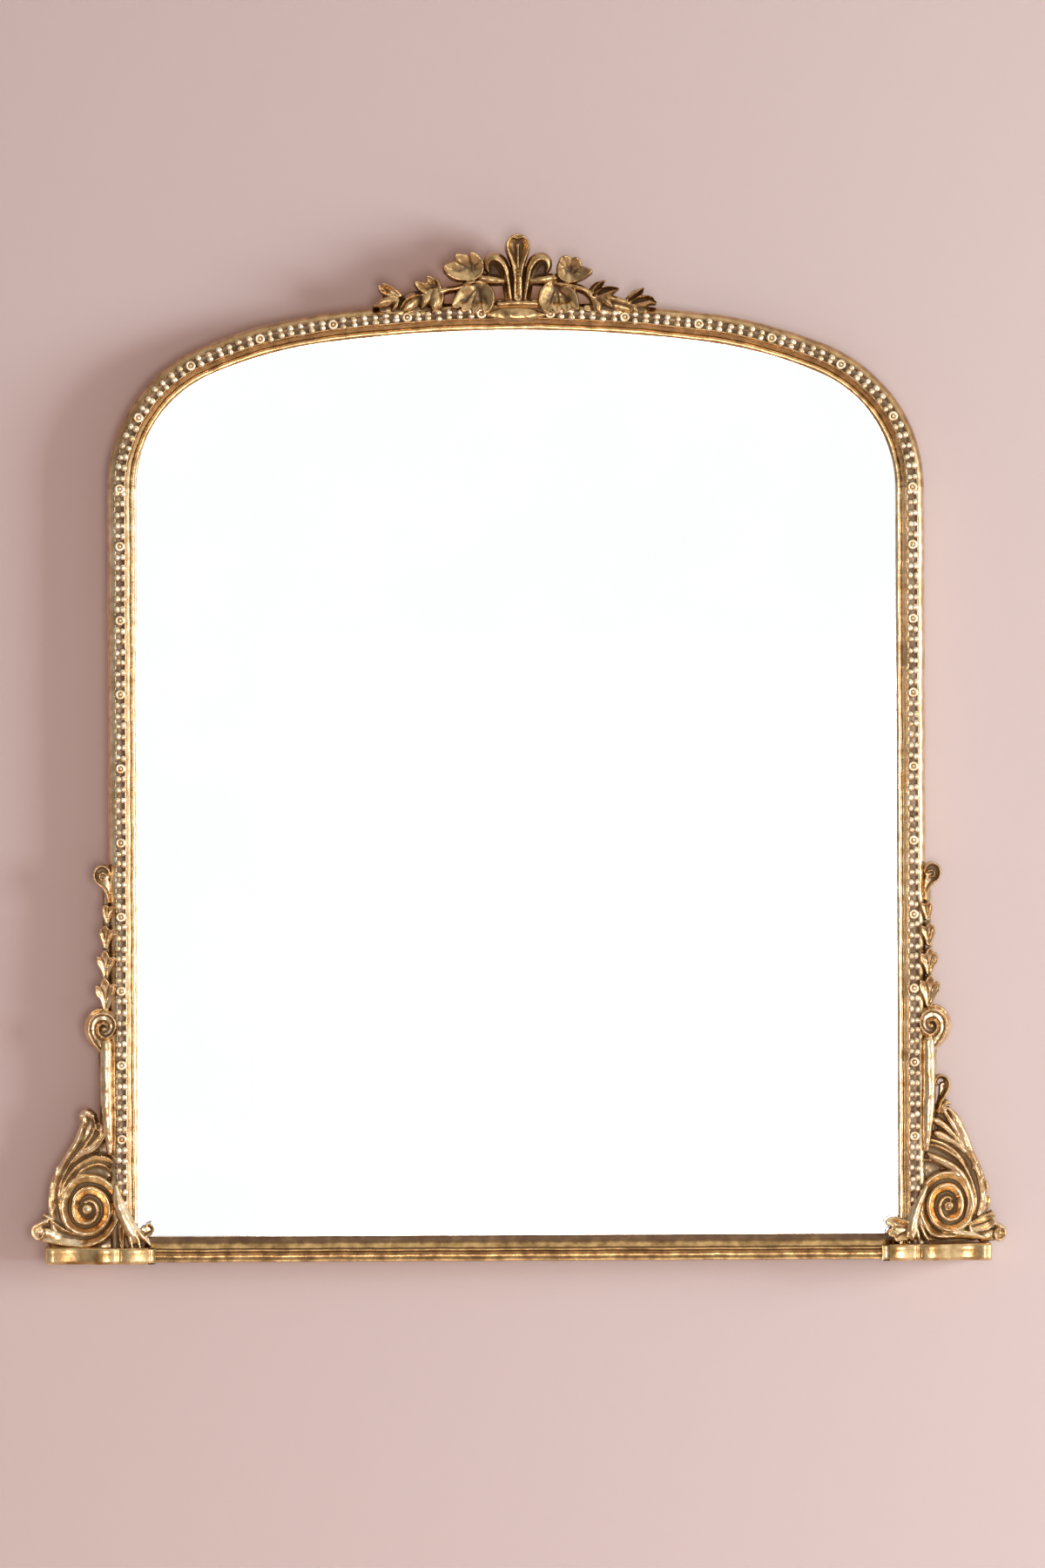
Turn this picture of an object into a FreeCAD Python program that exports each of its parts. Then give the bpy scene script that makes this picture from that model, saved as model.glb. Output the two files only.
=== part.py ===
import FreeCAD
import Part
import math
import os

import Sketcher

# Driving dimensions in millimetres and degrees
DIMENSIONS = {
    # Hanging line below the springing, gap to the wall, glue lines
    "hang_drop": 48.0,
    "wall_gap": 6.0,
    "glue_line": 0.1,
    "overrun": 5.0,
    # Sight opening: half width, springing, and the five-arc head
    "sight_half_width": 337.0,
    "spring_height": 688.0,
    "crown_radius": 1326.0,
    "crown_angle": 7.3,
    "shoulder_radius": 111.0,
    "shoulder_angle": 23.5,
    # Moulding section
    "face_width": 25.5,
    "moulding_depth": 27.0,
    "outer_edge_depth": 17.0,
    "outer_band_width": 7.0,
    "outer_band_radius": 9.0,
    "bead_ground_width": 9.5,
    "cove_radius": 8.0,
    "lip_width": 4.2,
    "lip_thickness": 5.0,
    "lip_slope": 1.0,
    "rabbet_width": 8.0,
    "rabbet_depth": 15.0,
    # Bottom rail section
    "rail_height": 26.0,
    "fascia_height": 13.0,
    "fascia_depth": 33.0,
    "fascia_hollow_radius": 26.0,
    "quirk_depth": 24.0,
    "torus_bottom": 15.5,
    "torus_height": 5.0,
    # Corner blocks
    "foot_height": 17.5,
    "foot_depth": 46.0,
    "foot_overhang": 56.0,
    "foot_reach": 16.0,
    # Bead strings
    "bead_width": 8.0,
    "bead_height": 3.2,
    "bead_bottom": 79.0,
    "tablet_half_width": 25.0,
    "tablet_height": 12.0,
    "tablet_top_drop": 7.5,
    "tablet_thickness": 3.0,
    # Glass and backing
    "glass_thickness": 4.0,
    "backing_thickness": 5.0,
    "glass_clearance": 1.5,
    # Wing boards
    "wing_thickness": 18.0,
    "wing_width": 10.0,
    "wing_height": 334.0,
    # Corner scrolls
    "scroll_width": 74.5,
    "scroll_height": 123.0,
    "scroll_relief": 10.5,
    "volute_out": 20.8,
    "volute_up": 34.9,
    "volute_radius": 25.0,
    "volute_eye_radius": 4.5,
    "volute_rib_radius": 4.2,
    "volute_rib_end_radius": 2.6,
    # Corner leaves
    "leaf_width": 41.0,
    "leaf_height": 75.0,
    "leaf_relief": 9.0,
    "leaf_gap": 0.3,
    # Pilaster strips, small volutes, husks and hooks
    "strip_width": 11.6,
    "strip_shift": -3.0,
    "strip_bottom": 140.0,
    "strip_share": 0.265,
    "strip_relief": 12.0,
    "small_volute_rise": 15.6,
    "small_volute_out": 6.0,
    "small_volute_radius": 11.5,
    "small_volute_eye_radius": 3.0,
    "small_rib_radius": 2.5,
    "small_rib_end_radius": 1.7,
    "small_volute_relief": 10.0,
    "husk_rise": 17.4,
    "husk_count": 4,
    "husk_gap": 5.0,
    "husk_width": 19.5,
    "husk_out": 4.5,
    "husk_relief": 12.5,
    "husk_step": 0.86,
    "hook_drop": 31.5,
    "hook_height": 37.0,
    "hook_radius": 6.0,
    "hook_rib_radius": 3.0,
    "hook_out": 4.0,
    # Crest
    "plume_half_width": 28.7,
    "plume_height": 60.0,
    "crest_leaf_inset": 21.0,
    "crest_leaf_width": 46.5,
    "crest_leaf_height": 41.0,
    "crest_spray_inset": 62.0,
    "crest_spray_width": 68.0,
    "crest_spray_height": 22.5,
    "crest_back": 14.0,
    "crest_level": 30.6,
    "crest_front": 38.0,
    # Hanger straps and rings
    "strap_thickness": 0.8,
    "strap_width": 10.0,
    "strap_length": 32.0,
    "strap_first_hole": 11.0,
    "strap_hole_spacing": 14.0,
    "ring_wire_radius": 1.2,
    "ring_half_width": 7.2,
    "ring_height": 14.0,
    "ring_corner_radius": 1.9,
    "ring_lean": 3.0,
    "running_clearance": 0.1,
    # Clips, plates, braces and screws
    "clip_thickness": 1.0,
    "clip_width": 12.0,
    "clip_foot": 12.0,
    "clip_tongue": 11.5,
    "clip_low": 200.0,
    "clip_high": 470.0,
    "clip_rail_out": 150.0,
    "clip_crown_angle": 5.0,
    "plate_thickness": 1.5,
    "plate_width": 12.0,
    "plate_half_length": 30.0,
    "plate_hole_near": 10.0,
    "plate_hole_far": 23.0,
    "brace_up": 75.0,
    "brace_in": 46.0,
    "brace_low": 3.0,
    "brace_hole_far": 10.0,
    "brace_hole_near": 28.0,
    "screw_radius": 1.6,
    "screw_length": 12.0,
    "screw_head_radius": 3.2,
    "screw_head_height": 1.6,
    "screw_hole_radius": 1.9,
    # Dowels and bumpers
    "dowel_radius": 4.0,
    "dowel_half_length": 12.0,
    "foot_dowel_half_length": 10.0,
    "dowel_depth": 17.0,
    "dowel_clearance": 0.05,
    "bumper_radius": 7.0,
    "bumper_tip_radius": 5.5,
    "bumper_out": 29.5,
    "bumper_up": 8.7,
    "bumper_angle": 45.0,
}

# Foot front in plan, as shares of the foot length and depth, from the outer end to the inner end
foot_front_shares = [
    ((0.015, 0.93), (0.075, 0.96)),
    ((0.24, 0.90), (0.42, 0.955)),
    ((0.53, 1.00), (0.635, 0.955)),
    ((0.665, 0.92), (0.695, 0.955)),
    ((0.815, 1.00), (0.935, 0.955)),
    ((0.955, 0.93), (1.00, 0.93)),
]

# Outlines as shares of width and height: start, then (bow to the left as a share of the chord, end)
corner_scroll_shares = [
    (0.006, 0.0),
    (0, (0.76, 0.0)),
    (0, (0.76, 0.025)),
    (-0.5, (0.88, 0.172)),
    (0.15, (0.735, 0.245)),
    (-0.09, (0.66, 0.61)),
    (0.07, (0.46, 0.79)),
    (0.11, (0.4, 0.91)),
    (-0.5, (0.21, 0.925)),
    (0.15, (0.12, 0.87)),
    (-0.37, (0.08, 0.79)),
    (0.32, (0.006, 0.62)),
    (0, (0.006, 0.0)),
]
scroll_crook_shares = [
    (0.34, 0.90),
    (0.05, (0.366, 1.134)),
    (-0.22, (0.266, 1.227)),
    (-0.25, (0.153, 1.176)),
    (-0.4, (0.185, 1.125)),
    (0.25, (0.262, 1.092)),
    (0, (0.24, 0.90)),
    (0, (0.34, 0.90)),
]
wing_board_shares = [
    (-0.09, (0.62, 0.60)),
    (0.07, (0.40, 0.80)),
]
corner_leaf_shares = [
    (0.03, 1.0),
    (0.09, (0.3, 0.58)),
    (-0.05, (0.56, 0.26)),
    (-0.2, (0.67, 0.23)),
    (0.28, (0.965, 0.19)),
    (0.28, (0.8, 0.105)),
    (0.28, (0.76, 0.0)),
    (0, (0.6, 0.0)),
    (-0.28, (0.53, 0.0)),
    (0, (0.38, 0.0)),
    (-0.28, (0.31, 0.0)),
    (0, (0.15, 0.0)),
    (0.02, (0.03, 1.0)),
]
husk_shares = [
    (0.0, 1.0),
    (0.23, (0.26, 0.76)),
    (0.14, (0.5, 0.3)),
    (0.28, (0.3, 0.18)),
    (-0.04, (0.13, 0.02)),
    (0, (0.0, 0.0)),
]
plume_shares = [
    (0.0, -0.1),
    (0, (0.66, -0.1)),
    (0.16, (0.8, 0.21)),
    (-0.26, (0.68, 0.69)),
    (-0.15, (0.42, 0.53)),
    (0.04, (0.4, 0.81)),
    (-0.26, (0.0, 1.0)),
]
crest_leaf_shares = [
    (0.165, 0.4),
    (0.12, (0.41, 1.0)),
    (0.17, (0.58, 0.85)),
    (0.17, (0.7, 1.0)),
    (0.17, (0.775, 0.76)),
    (0.17, (0.985, 0.72)),
    (0.22, (0.8, 0.37)),
    (-0.14, (0.78, 0.09)),
    (0.26, (0.79, -0.105)),
    (0.17, (0.665, -0.13)),
    (0.17, (0.62, -0.295)),
    (0.17, (0.5, -0.165)),
    (0.17, (0.37, -0.31)),
    (0.17, (0.29, -0.17)),
    (0.17, (0.165, -0.24)),
    (0.17, (0.0, 0.09)),
    (0.1, (0.165, 0.4)),
]
crest_spray_shares = [
    (0.0, 0.3),
    (-0.16, (0.1, 0.62)),
    (0.2, (0.165, 0.86)),
    (0.1, (0.2, 0.72)),
    (0.12, (0.29, 1.0)),
    (0.1, (0.33, 0.62)),
    (0.14, (0.44, 0.74)),
    (0.2, (0.38, 0.3)),
    (-0.05, (0.56, 0.2)),
    (-0.17, (0.85, 0.66)),
    (-0.12, (0.88, 0.3)),
    (0.1, (0.99, -0.16)),
    (0.14, (0.84, -0.3)),
    (0.2, (0.73, -0.36)),
    (-0.2, (0.62, -0.3)),
    (0.2, (0.49, -0.36)),
    (-0.25, (0.4, -0.26)),
    (0.2, (0.28, -0.44)),
    (-0.16, (0.24, -0.34)),
    (0.2, (0.14, -0.42)),
    (-0.16, (0.1, -0.32)),
    (0.2, (0.02, -0.26)),
    (-0.13, (0.0, 0.3)),
]

doc = FreeCAD.newDocument("arched_wall_mirror")
sheet = doc.addObject("Spreadsheet::Sheet", "dims")
for row, (alias, value) in enumerate(DIMENSIONS.items(), start=1):
    sheet.set(f"A{row}", str(value))
    sheet.setAlias(f"A{row}", alias)
doc.recompute()

Vector = FreeCAD.Vector
UP = Vector(0, 0, 1)
FRONT = Vector(0, -1, 0)
nodes = []

# Expressions shared by several pieces
SIN_C = "sin(dims.crown_angle)"
COS_C = "cos(dims.crown_angle)"
SIN_S = "sin(dims.shoulder_angle)"
COS_S = "cos(dims.shoulder_angle)"
HAUNCH = (
    f"((dims.sight_half_width - dims.crown_radius * {SIN_C}"
    f" - dims.shoulder_radius * (1 - {SIN_S})) / ({SIN_S} - {SIN_C}))"
)
CROWN_Z = (
    f"(dims.spring_height + {HAUNCH} * ({COS_C} - {COS_S})"
    f" + dims.shoulder_radius * {COS_S} - dims.crown_radius * {COS_C})"
)
HANG = "(dims.spring_height - dims.hang_drop)"
OUTER = "(dims.sight_half_width + dims.face_width)"
GROUND_U = "(dims.face_width - dims.outer_band_width - dims.bead_ground_width)"
BEAD_U = f"({GROUND_U} + (dims.bead_ground_width - dims.bead_width) / 2)"
BACK_U = "((dims.face_width + dims.rabbet_width) / 2)"
GLASS_OUT = "(dims.rabbet_width - dims.glass_clearance)"


def num(text):
    """Value of an expression on the sheet."""
    return float(sheet.evalExpression(text))


def size(alias):
    """Value of one driving dimension."""
    return float(sheet.get(alias))


def keep(thing, label):
    """Names a finished piece and lists it for export."""
    thing.Label = label
    nodes.append(thing)
    return thing


def new_body(label):
    """Starts a body whose base line is below the hanging line."""
    body = doc.addObject("PartDesign::Body", label)
    body.setExpression("Placement.Base.z", f"-{HANG}")
    return body


def new_sketch(body, name, role, lift="0"):
    """Puts a sketch on one of the body's origin planes, lifted along its normal."""
    sketch = body.newObject("Sketcher::SketchObject", name)
    plane = next(f for f in body.Origin.OriginFeatures if f.Role == role)
    sketch.AttachmentSupport = [(plane, "")]
    sketch.MapMode = "FlatFace"
    if lift != "0":
        sketch.setExpression("AttachmentOffset.Base.z", lift)
    return sketch


def bind(sketch, kind, where, text):
    """Adds one driving constraint and ties it to its expression."""
    index = sketch.addConstraint(Sketcher.Constraint(kind, *where, num(text)))
    sketch.setExpression(f"Constraints[{index}]", text)


def pin(sketch, geometry, vertex, x, y):
    """Ties a sketch point to its two coordinates."""
    for kind, axis, text in (("DistanceX", -2, x), ("DistanceY", -1, y)):
        if text == "0":
            sketch.addConstraint(Sketcher.Constraint("PointOnObject", geometry, vertex, axis))
        else:
            bind(sketch, kind, (-1, 1, geometry, vertex), text)


def arc_between(first, last, radius, left):
    """Shorter arc between two points that bows to the left or right of the way."""
    along = last.sub(first)
    half = along.Length / 2
    side = Vector(-along.y, along.x, 0).normalize()
    rise = math.sqrt(max(radius * radius - half * half, 0))
    centre = first.add(last).multiply(0.5).add(side.multiply(-rise if left else rise))
    start, end = (last, first) if left else (first, last)
    begin = math.atan2(start.y - centre.y, start.x - centre.x)
    finish = math.atan2(end.y - centre.y, end.x - centre.x)
    if finish <= begin:
        finish += 2 * math.pi
    return Part.ArcOfCircle(Part.Circle(centre, UP, radius), begin, finish)


def draw(sketch, corners, bends=None, closed=True, flip=False):
    """Joins corners by lines, or by arcs where bends has (radius, bows left)."""
    bends = bends or {}
    points = [Vector(num(x), num(y), 0) for x, y in corners]
    count = len(points) if closed else len(points) - 1
    heads = []
    for i in range(count):
        first, last = points[i], points[(i + 1) % len(points)]
        if i in bends:
            left = bends[i][1] != flip
            sketch.addGeometry(arc_between(first, last, num(bends[i][0]), left))
            heads.append((2, 1) if left else (1, 2))
        else:
            sketch.addGeometry(Part.LineSegment(first, last))
            heads.append((1, 2))
    for i in range(count):
        if i or closed:
            before = (i - 1) % count
            ends = (before, heads[before][1], i, heads[i][0])
            sketch.addConstraint(Sketcher.Constraint("Coincident", *ends))
        pin(sketch, i, heads[i][0], *corners[i])
    if not closed:
        pin(sketch, count - 1, heads[count - 1][1], *corners[-1])
    for i, (radius, _) in bends.items():
        bind(sketch, "Radius", (i,), radius)


def circle(sketch, x, y, radius):
    """Draws one circle tied to its centre and radius."""
    index = sketch.addGeometry(Part.Circle(Vector(num(x), num(y), 0), UP, num(radius)))
    pin(sketch, index, 3, x, y)
    bind(sketch, "Radius", (index,), radius)


def pad(body, name, sketch, length, both=False):
    """Pads a sketch along its normal."""
    feature = body.newObject("PartDesign::Pad", name)
    feature.Profile = sketch
    feature.setExpression("Length", length)
    if both:
        feature.SideType = "Symmetric"
    return feature


def pocket(body, name, sketch, length, turned=False):
    """Cuts a sketch into the body, along the normal where turned."""
    feature = body.newObject("PartDesign::Pocket", name)
    feature.Profile = sketch
    feature.setExpression("Length", length)
    feature.Reversed = turned
    return feature


def sweep(body, name, profile, spine):
    """Sweeps a profile along a path sketch."""
    feature = body.newObject("PartDesign::AdditivePipe", name)
    feature.Profile = profile
    feature.Spine = spine
    return feature


def signed(text, sign):
    """Expression on the right or the left side."""
    return text if sign > 0 or text == "0" else f"-({text})"


def section_points(pairs, sign):
    """Moulding section points (out from the sight edge, forward from the back) in plan."""
    return [
        (signed(f"dims.sight_half_width + {u}", sign), f"-(dims.wall_gap + {v})")
        for u, v in pairs
    ]


def arch_half(offset):
    """Springing, shoulder and crown points of the head, right side, at an offset outward."""
    return [
        (f"dims.sight_half_width + {offset}", "dims.spring_height"),
        (
            f"dims.sight_half_width - dims.shoulder_radius * (1 - {SIN_S}) + {offset} * {SIN_S}",
            f"dims.spring_height + (dims.shoulder_radius + {offset}) * {COS_S}",
        ),
        (
            f"(dims.crown_radius + {offset}) * {SIN_C}",
            f"{CROWN_Z} + (dims.crown_radius + {offset}) * {COS_C}",
        ),
    ]


def arch_radii(offset):
    """Radii of shoulder, haunch and crown at an offset outward."""
    return [f"dims.shoulder_radius + {offset}", f"{HAUNCH} + {offset}", f"dims.crown_radius + {offset}"]


def head_path(offset):
    """Corners and bends of the whole head from the left springing to the right one."""
    half = arch_half(offset)
    corners = [(signed(x, -1), z) for x, z in half] + half[::-1]
    radii = arch_radii(offset)
    order = [radii[0], radii[1], radii[2], radii[1], radii[0]]
    return corners, {i: (radius, True) for i, radius in enumerate(order)}


MOULDING = [
    ("dims.rabbet_width", "0"),
    ("dims.face_width", "0"),
    ("dims.face_width", "dims.outer_edge_depth"),
    ("(dims.face_width - dims.outer_band_width)", "dims.moulding_depth"),
    (GROUND_U, "dims.moulding_depth"),
    ("dims.lip_width", "(dims.rabbet_depth + dims.lip_thickness)"),
    ("0", "(dims.rabbet_depth + dims.lip_thickness - dims.lip_slope)"),
    ("0", "dims.rabbet_depth"),
    ("dims.rabbet_width", "dims.rabbet_depth"),
]
MOULDING_BENDS = {2: ("dims.outer_band_radius", False), 4: ("dims.cove_radius", True)}
BEAD = [
    (BEAD_U, "dims.moulding_depth"),
    (f"({BEAD_U} + dims.bead_width)", "dims.moulding_depth"),
]
BEAD_RADIUS = "((dims.bead_width ^ 2 / 4 + dims.bead_height ^ 2) / (2 * dims.bead_height))"
BEAD_BENDS = {1: (BEAD_RADIUS, False)}


def dowel_hole(body, name, sign, height, depth, upward):
    """Drills one dowel hole into a moulding end or a block."""
    sketch = new_sketch(body, f"{name}_sketch", "XY_Plane", height)
    x = signed(f"dims.sight_half_width + {BACK_U}", sign)
    circle(sketch, x, "-(dims.wall_gap + dims.dowel_depth)", "dims.dowel_radius + dims.dowel_clearance")
    pocket(body, name, sketch, depth, turned=upward)


def moulding_arch():
    """Arch moulding: the section swept along the five arcs of the head."""
    body = new_body("arch_moulding")
    path = new_sketch(body, "arch_path", "XZ_Plane", "dims.wall_gap")
    corners, bends = head_path("0")
    draw(path, corners, bends, closed=False)
    profile = new_sketch(body, "arch_section", "XY_Plane", "dims.spring_height")
    draw(profile, section_points(MOULDING, -1), MOULDING_BENDS)
    sweep(body, "arch_sweep", profile, path)
    for side, sign in (("left", -1), ("right", 1)):
        dowel_hole(body, f"arch_dowel_{side}", sign, "dims.spring_height",
                   "dims.dowel_half_length + dims.dowel_clearance", True)
    return keep(body, "arch_moulding")


def moulding_stile(side, sign):
    """Stile moulding: the section padded from the corner block to the springing."""
    body = new_body(f"{side}_stile")
    profile = new_sketch(body, f"{side}_stile_section", "XY_Plane", "dims.foot_height")
    draw(profile, section_points(MOULDING, sign), MOULDING_BENDS, flip=sign > 0)
    pad(body, f"{side}_stile_pad", profile, "dims.spring_height - dims.foot_height")
    dowel_hole(body, f"{side}_stile_top_hole", sign, "dims.spring_height",
               "dims.dowel_half_length + dims.dowel_clearance", False)
    dowel_hole(body, f"{side}_stile_foot_hole", sign, "dims.foot_height",
               "dims.foot_dowel_half_length + dims.dowel_clearance", True)
    return keep(body, f"{side}_stile")


def moulding_rail():
    """Bottom rail: fascia, quirk, torus, cove and lip, padded across the opening."""
    body = new_body("bottom_rail")
    profile = new_sketch(body, "rail_section", "YZ_Plane")
    lip = "(dims.rabbet_depth + dims.lip_thickness)"
    shelf = "(dims.rail_height - dims.rabbet_width)"
    torus_top = "(dims.torus_bottom + dims.torus_height)"
    pairs = [
        ("0", "0"),
        ("dims.fascia_depth", "0"),
        ("dims.fascia_depth", "dims.fascia_height"),
        ("dims.quirk_depth", "dims.fascia_height"),
        ("dims.quirk_depth", "dims.torus_bottom"),
        ("dims.quirk_depth", torus_top),
        (f"({lip} - dims.lip_slope)", "dims.rail_height"),
        ("dims.rabbet_depth", "dims.rail_height"),
        ("dims.rabbet_depth", shelf),
        ("0", shelf),
    ]
    corners = [(f"-(dims.wall_gap + {v})", z) for v, z in pairs]
    bends = {
        1: ("dims.fascia_hollow_radius", False),
        4: ("dims.torus_height * 0.6", True),
        5: ("dims.cove_radius", False),
    }
    draw(profile, corners, bends)
    pad(body, "rail_pad", profile, "2 * dims.sight_half_width", both=True)
    return keep(body, "bottom_rail")


def corner_block(side, sign):
    """Serpentine foot: wraps the rail end and carries the stile."""
    body = new_body(f"{side}_corner_block")
    plan = new_sketch(body, f"{side}_block_plan", "XY_Plane")
    length = "(dims.face_width + dims.foot_overhang + dims.foot_reach)"
    outer = f"({OUTER} + dims.foot_overhang)"
    notch = "(dims.fascia_depth + dims.glue_line)"
    inner_side = "(dims.sight_half_width + dims.glue_line)"
    corners = [
        (signed(inner_side, sign), "-dims.wall_gap"),
        (signed(outer, sign), "-dims.wall_gap"),
        (signed(outer, sign), "-(dims.wall_gap + dims.foot_depth * 0.82)"),
    ]
    bends = {}
    at = (0.0, 0.82)
    slender = size("foot_depth") / num(length)
    for through, end in foot_front_shares:
        chord = math.hypot(end[0] - at[0], (end[1] - at[1]) * slender)
        middle = ((at[0] + end[0]) / 2, (at[1] + end[1]) / 2)
        bow = math.hypot(through[0] - middle[0], (through[1] - middle[1]) * slender)
        radius_share = chord * chord / (8 * bow) + bow / 2
        forward = through[1] > middle[1]
        bends[len(corners) - 1] = (f"{radius_share:.6f} * {length}", not forward)
        corners.append((
            signed(f"{outer} - {end[0]} * {length}", sign),
            f"-(dims.wall_gap + {end[1]} * dims.foot_depth)",
        ))
        at = end
    corners.append((signed(f"{outer} - {length}", sign), f"-(dims.wall_gap + {notch})"))
    corners.append((signed(inner_side, sign), f"-(dims.wall_gap + {notch})"))
    draw(plan, corners, bends, flip=sign < 0)
    pad(body, f"{side}_block_pad", plan, "dims.foot_height")
    dowel_hole(body, f"{side}_block_hole", sign, "dims.foot_height",
               "dims.foot_dowel_half_length + dims.dowel_clearance", False)
    return keep(body, f"{side}_corner_block")


def bead_stile(side, sign):
    """Bead string ground strip on a stile."""
    body = new_body(f"bead_string_{side}")
    profile = new_sketch(body, f"bead_{side}_section", "XY_Plane", "dims.bead_bottom")
    draw(profile, section_points(BEAD, sign), BEAD_BENDS, flip=sign > 0)
    pad(body, f"bead_{side}_pad", profile, "dims.spring_height - dims.bead_bottom")
    return keep(body, f"bead_string_{side}")


def bead_arch(side, sign):
    """Bead string ground strip on half of the arch, ending at the tablet."""
    body = new_body(f"bead_string_arch_{side}")
    path = new_sketch(body, f"bead_arch_{side}_path", "XZ_Plane", "dims.wall_gap")
    end_x = "(dims.tablet_half_width + dims.glue_line)"
    end = (end_x, f"{CROWN_Z} + sqrt(dims.crown_radius ^ 2 - {end_x} ^ 2)")
    corners = [(signed(x, sign), z) for x, z in arch_half("0") + [end]]
    bends = {i: (radius, False) for i, radius in enumerate(arch_radii("0"))}
    draw(path, corners, bends, closed=False, flip=sign < 0)
    profile = new_sketch(body, f"bead_arch_{side}_section", "XY_Plane", "dims.spring_height")
    draw(profile, section_points(BEAD, sign), BEAD_BENDS, flip=sign > 0)
    sweep(body, f"bead_arch_{side}_sweep", profile, path)
    return keep(body, f"bead_string_arch_{side}")


def pane(label, back, thickness):
    """Glass or board cut to the rabbet outline."""
    body = new_body(label)
    outline = new_sketch(body, f"{label}_outline", "XZ_Plane", f"dims.wall_gap + {back}")
    corners, bends = head_path(GLASS_OUT)
    bottom = f"(dims.rail_height - {GLASS_OUT})"
    right = f"dims.sight_half_width + {GLASS_OUT}"
    corners = corners + [(right, bottom), (signed(right, -1), bottom)]
    draw(outline, corners, bends)
    pad(body, f"{label}_pad", outline, thickness)
    return keep(body, label)


def hanger_strap(side, sign):
    """Strap on the stile back: leaf with two screw holes and a knuckle for the ring bar."""
    body = new_body(f"hanger_strap_{side}")
    middle = signed(f"dims.sight_half_width + {BACK_U}", sign)
    knuckle = "(dims.ring_wire_radius + dims.running_clearance + dims.strap_thickness)"
    bar_y = f"-(dims.wall_gap - {knuckle})"
    leaf = new_sketch(body, f"strap_{side}_leaf", "YZ_Plane", f"{middle} - dims.strap_width / 2")
    back, front = "-(dims.wall_gap - dims.strap_thickness)", "-dims.wall_gap"
    top, low = BAR_Z, f"{BAR_Z} - dims.strap_length"
    draw(leaf, [(front, low), (back, low), (back, top), (front, top)])
    pad(body, f"strap_{side}_leaf_pad", leaf, "dims.strap_width")
    tube = new_sketch(body, f"strap_{side}_tube", "YZ_Plane", f"{middle} - dims.strap_width / 2")
    circle(tube, bar_y, BAR_Z, knuckle)
    pad(body, f"strap_{side}_tube_pad", tube, "dims.strap_width")
    bore = new_sketch(body, f"strap_{side}_bore", "YZ_Plane", f"{middle} - dims.strap_width / 2")
    circle(bore, bar_y, BAR_Z, "dims.ring_wire_radius + dims.running_clearance")
    pocket(body, f"strap_{side}_bore_cut", bore, "dims.strap_width", turned=True)
    holes = new_sketch(body, f"strap_{side}_holes", "XZ_Plane", "dims.wall_gap - dims.strap_thickness")
    for drop in STRAP_DROPS:
        circle(holes, middle, f"{BAR_Z} - {drop}", "dims.screw_hole_radius")
    pocket(body, f"strap_{side}_holes_cut", holes, "dims.strap_thickness", turned=True)
    return keep(body, f"hanger_strap_{side}")


BAR_Z = f"({HANG} - dims.ring_height + dims.ring_wire_radius)"
STRAP_DROPS = ["dims.strap_first_hole", "(dims.strap_first_hole + dims.strap_hole_spacing)"]


def hanger_ring(side, sign):
    """D ring: round wire swept along its bar, corners and bow, leaning on the frame back."""
    body = doc.addObject("PartDesign::Body", f"hanger_ring_{side}")
    path = new_sketch(body, f"ring_{side}_path", "XZ_Plane")
    bar = "(dims.ring_half_width - dims.ring_corner_radius)"
    shoulder = "(dims.ring_height - dims.ring_half_width)"
    half = [
        ("dims.ring_half_width", shoulder),
        ("dims.ring_half_width", "dims.ring_corner_radius"),
        (bar, "0"),
    ]
    corners = [("0", "dims.ring_height")] + half + [(signed(x, -1), z) for x, z in half[::-1]]
    bends = {
        0: ("dims.ring_half_width", True),
        2: ("dims.ring_corner_radius", True),
        4: ("dims.ring_corner_radius", True),
        6: ("dims.ring_half_width", True),
    }
    draw(path, corners, bends)
    profile = new_sketch(body, f"ring_{side}_section", "YZ_Plane")
    circle(profile, "0", "dims.ring_height", "dims.ring_wire_radius")
    sweep(body, f"ring_{side}_sweep", profile, path)
    knuckle = "(dims.ring_wire_radius + dims.running_clearance + dims.strap_thickness)"
    middle = signed(f"dims.sight_half_width + {BACK_U}", sign)
    body.Placement = FreeCAD.Placement(Vector(), FreeCAD.Rotation(Vector(1, 0, 0), size("ring_lean")))
    body.setExpression("Placement.Base.x", middle)
    body.setExpression("Placement.Base.y", f"-(dims.wall_gap - {knuckle})")
    body.setExpression("Placement.Base.z", f"{BAR_Z} - {HANG}")
    return keep(body, f"hanger_ring_{side}")


def flat_plate(label, corner_sets, hole_sets):
    """Flat steel pieces on the frame back with clearance holes, as one group."""
    shapes = []
    for index, (corners, holes) in enumerate(zip(corner_sets, hole_sets)):
        body = new_body(f"{label}_{index}")
        level = "dims.wall_gap - dims.plate_thickness"
        outline = new_sketch(body, f"{label}_{index}_outline", "XZ_Plane", level)
        draw(outline, corners)
        for x, z in holes:
            circle(outline, x, z, "dims.screw_hole_radius")
        pad(body, f"{label}_{index}_pad", outline, "dims.plate_thickness")
        shapes.append(body)
    doc.recompute()
    return group(label, [(body.Shape, None) for body in shapes], lifted=True)


def group(label, items, lifted=False):
    """Separate solids of one kind held in one node."""
    solids = []
    for shape, place in items:
        copy = shape.copy()
        if place is not None:
            copy.Placement = place.multiply(copy.Placement)
        solids.append(copy)
    feature = doc.addObject("Part::Feature", label)
    feature.Shape = Part.Compound(solids)
    if not lifted:
        feature.Placement = FreeCAD.Placement(Vector(0, 0, -num(HANG)), FreeCAD.Rotation())
    return keep(feature, label)


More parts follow.
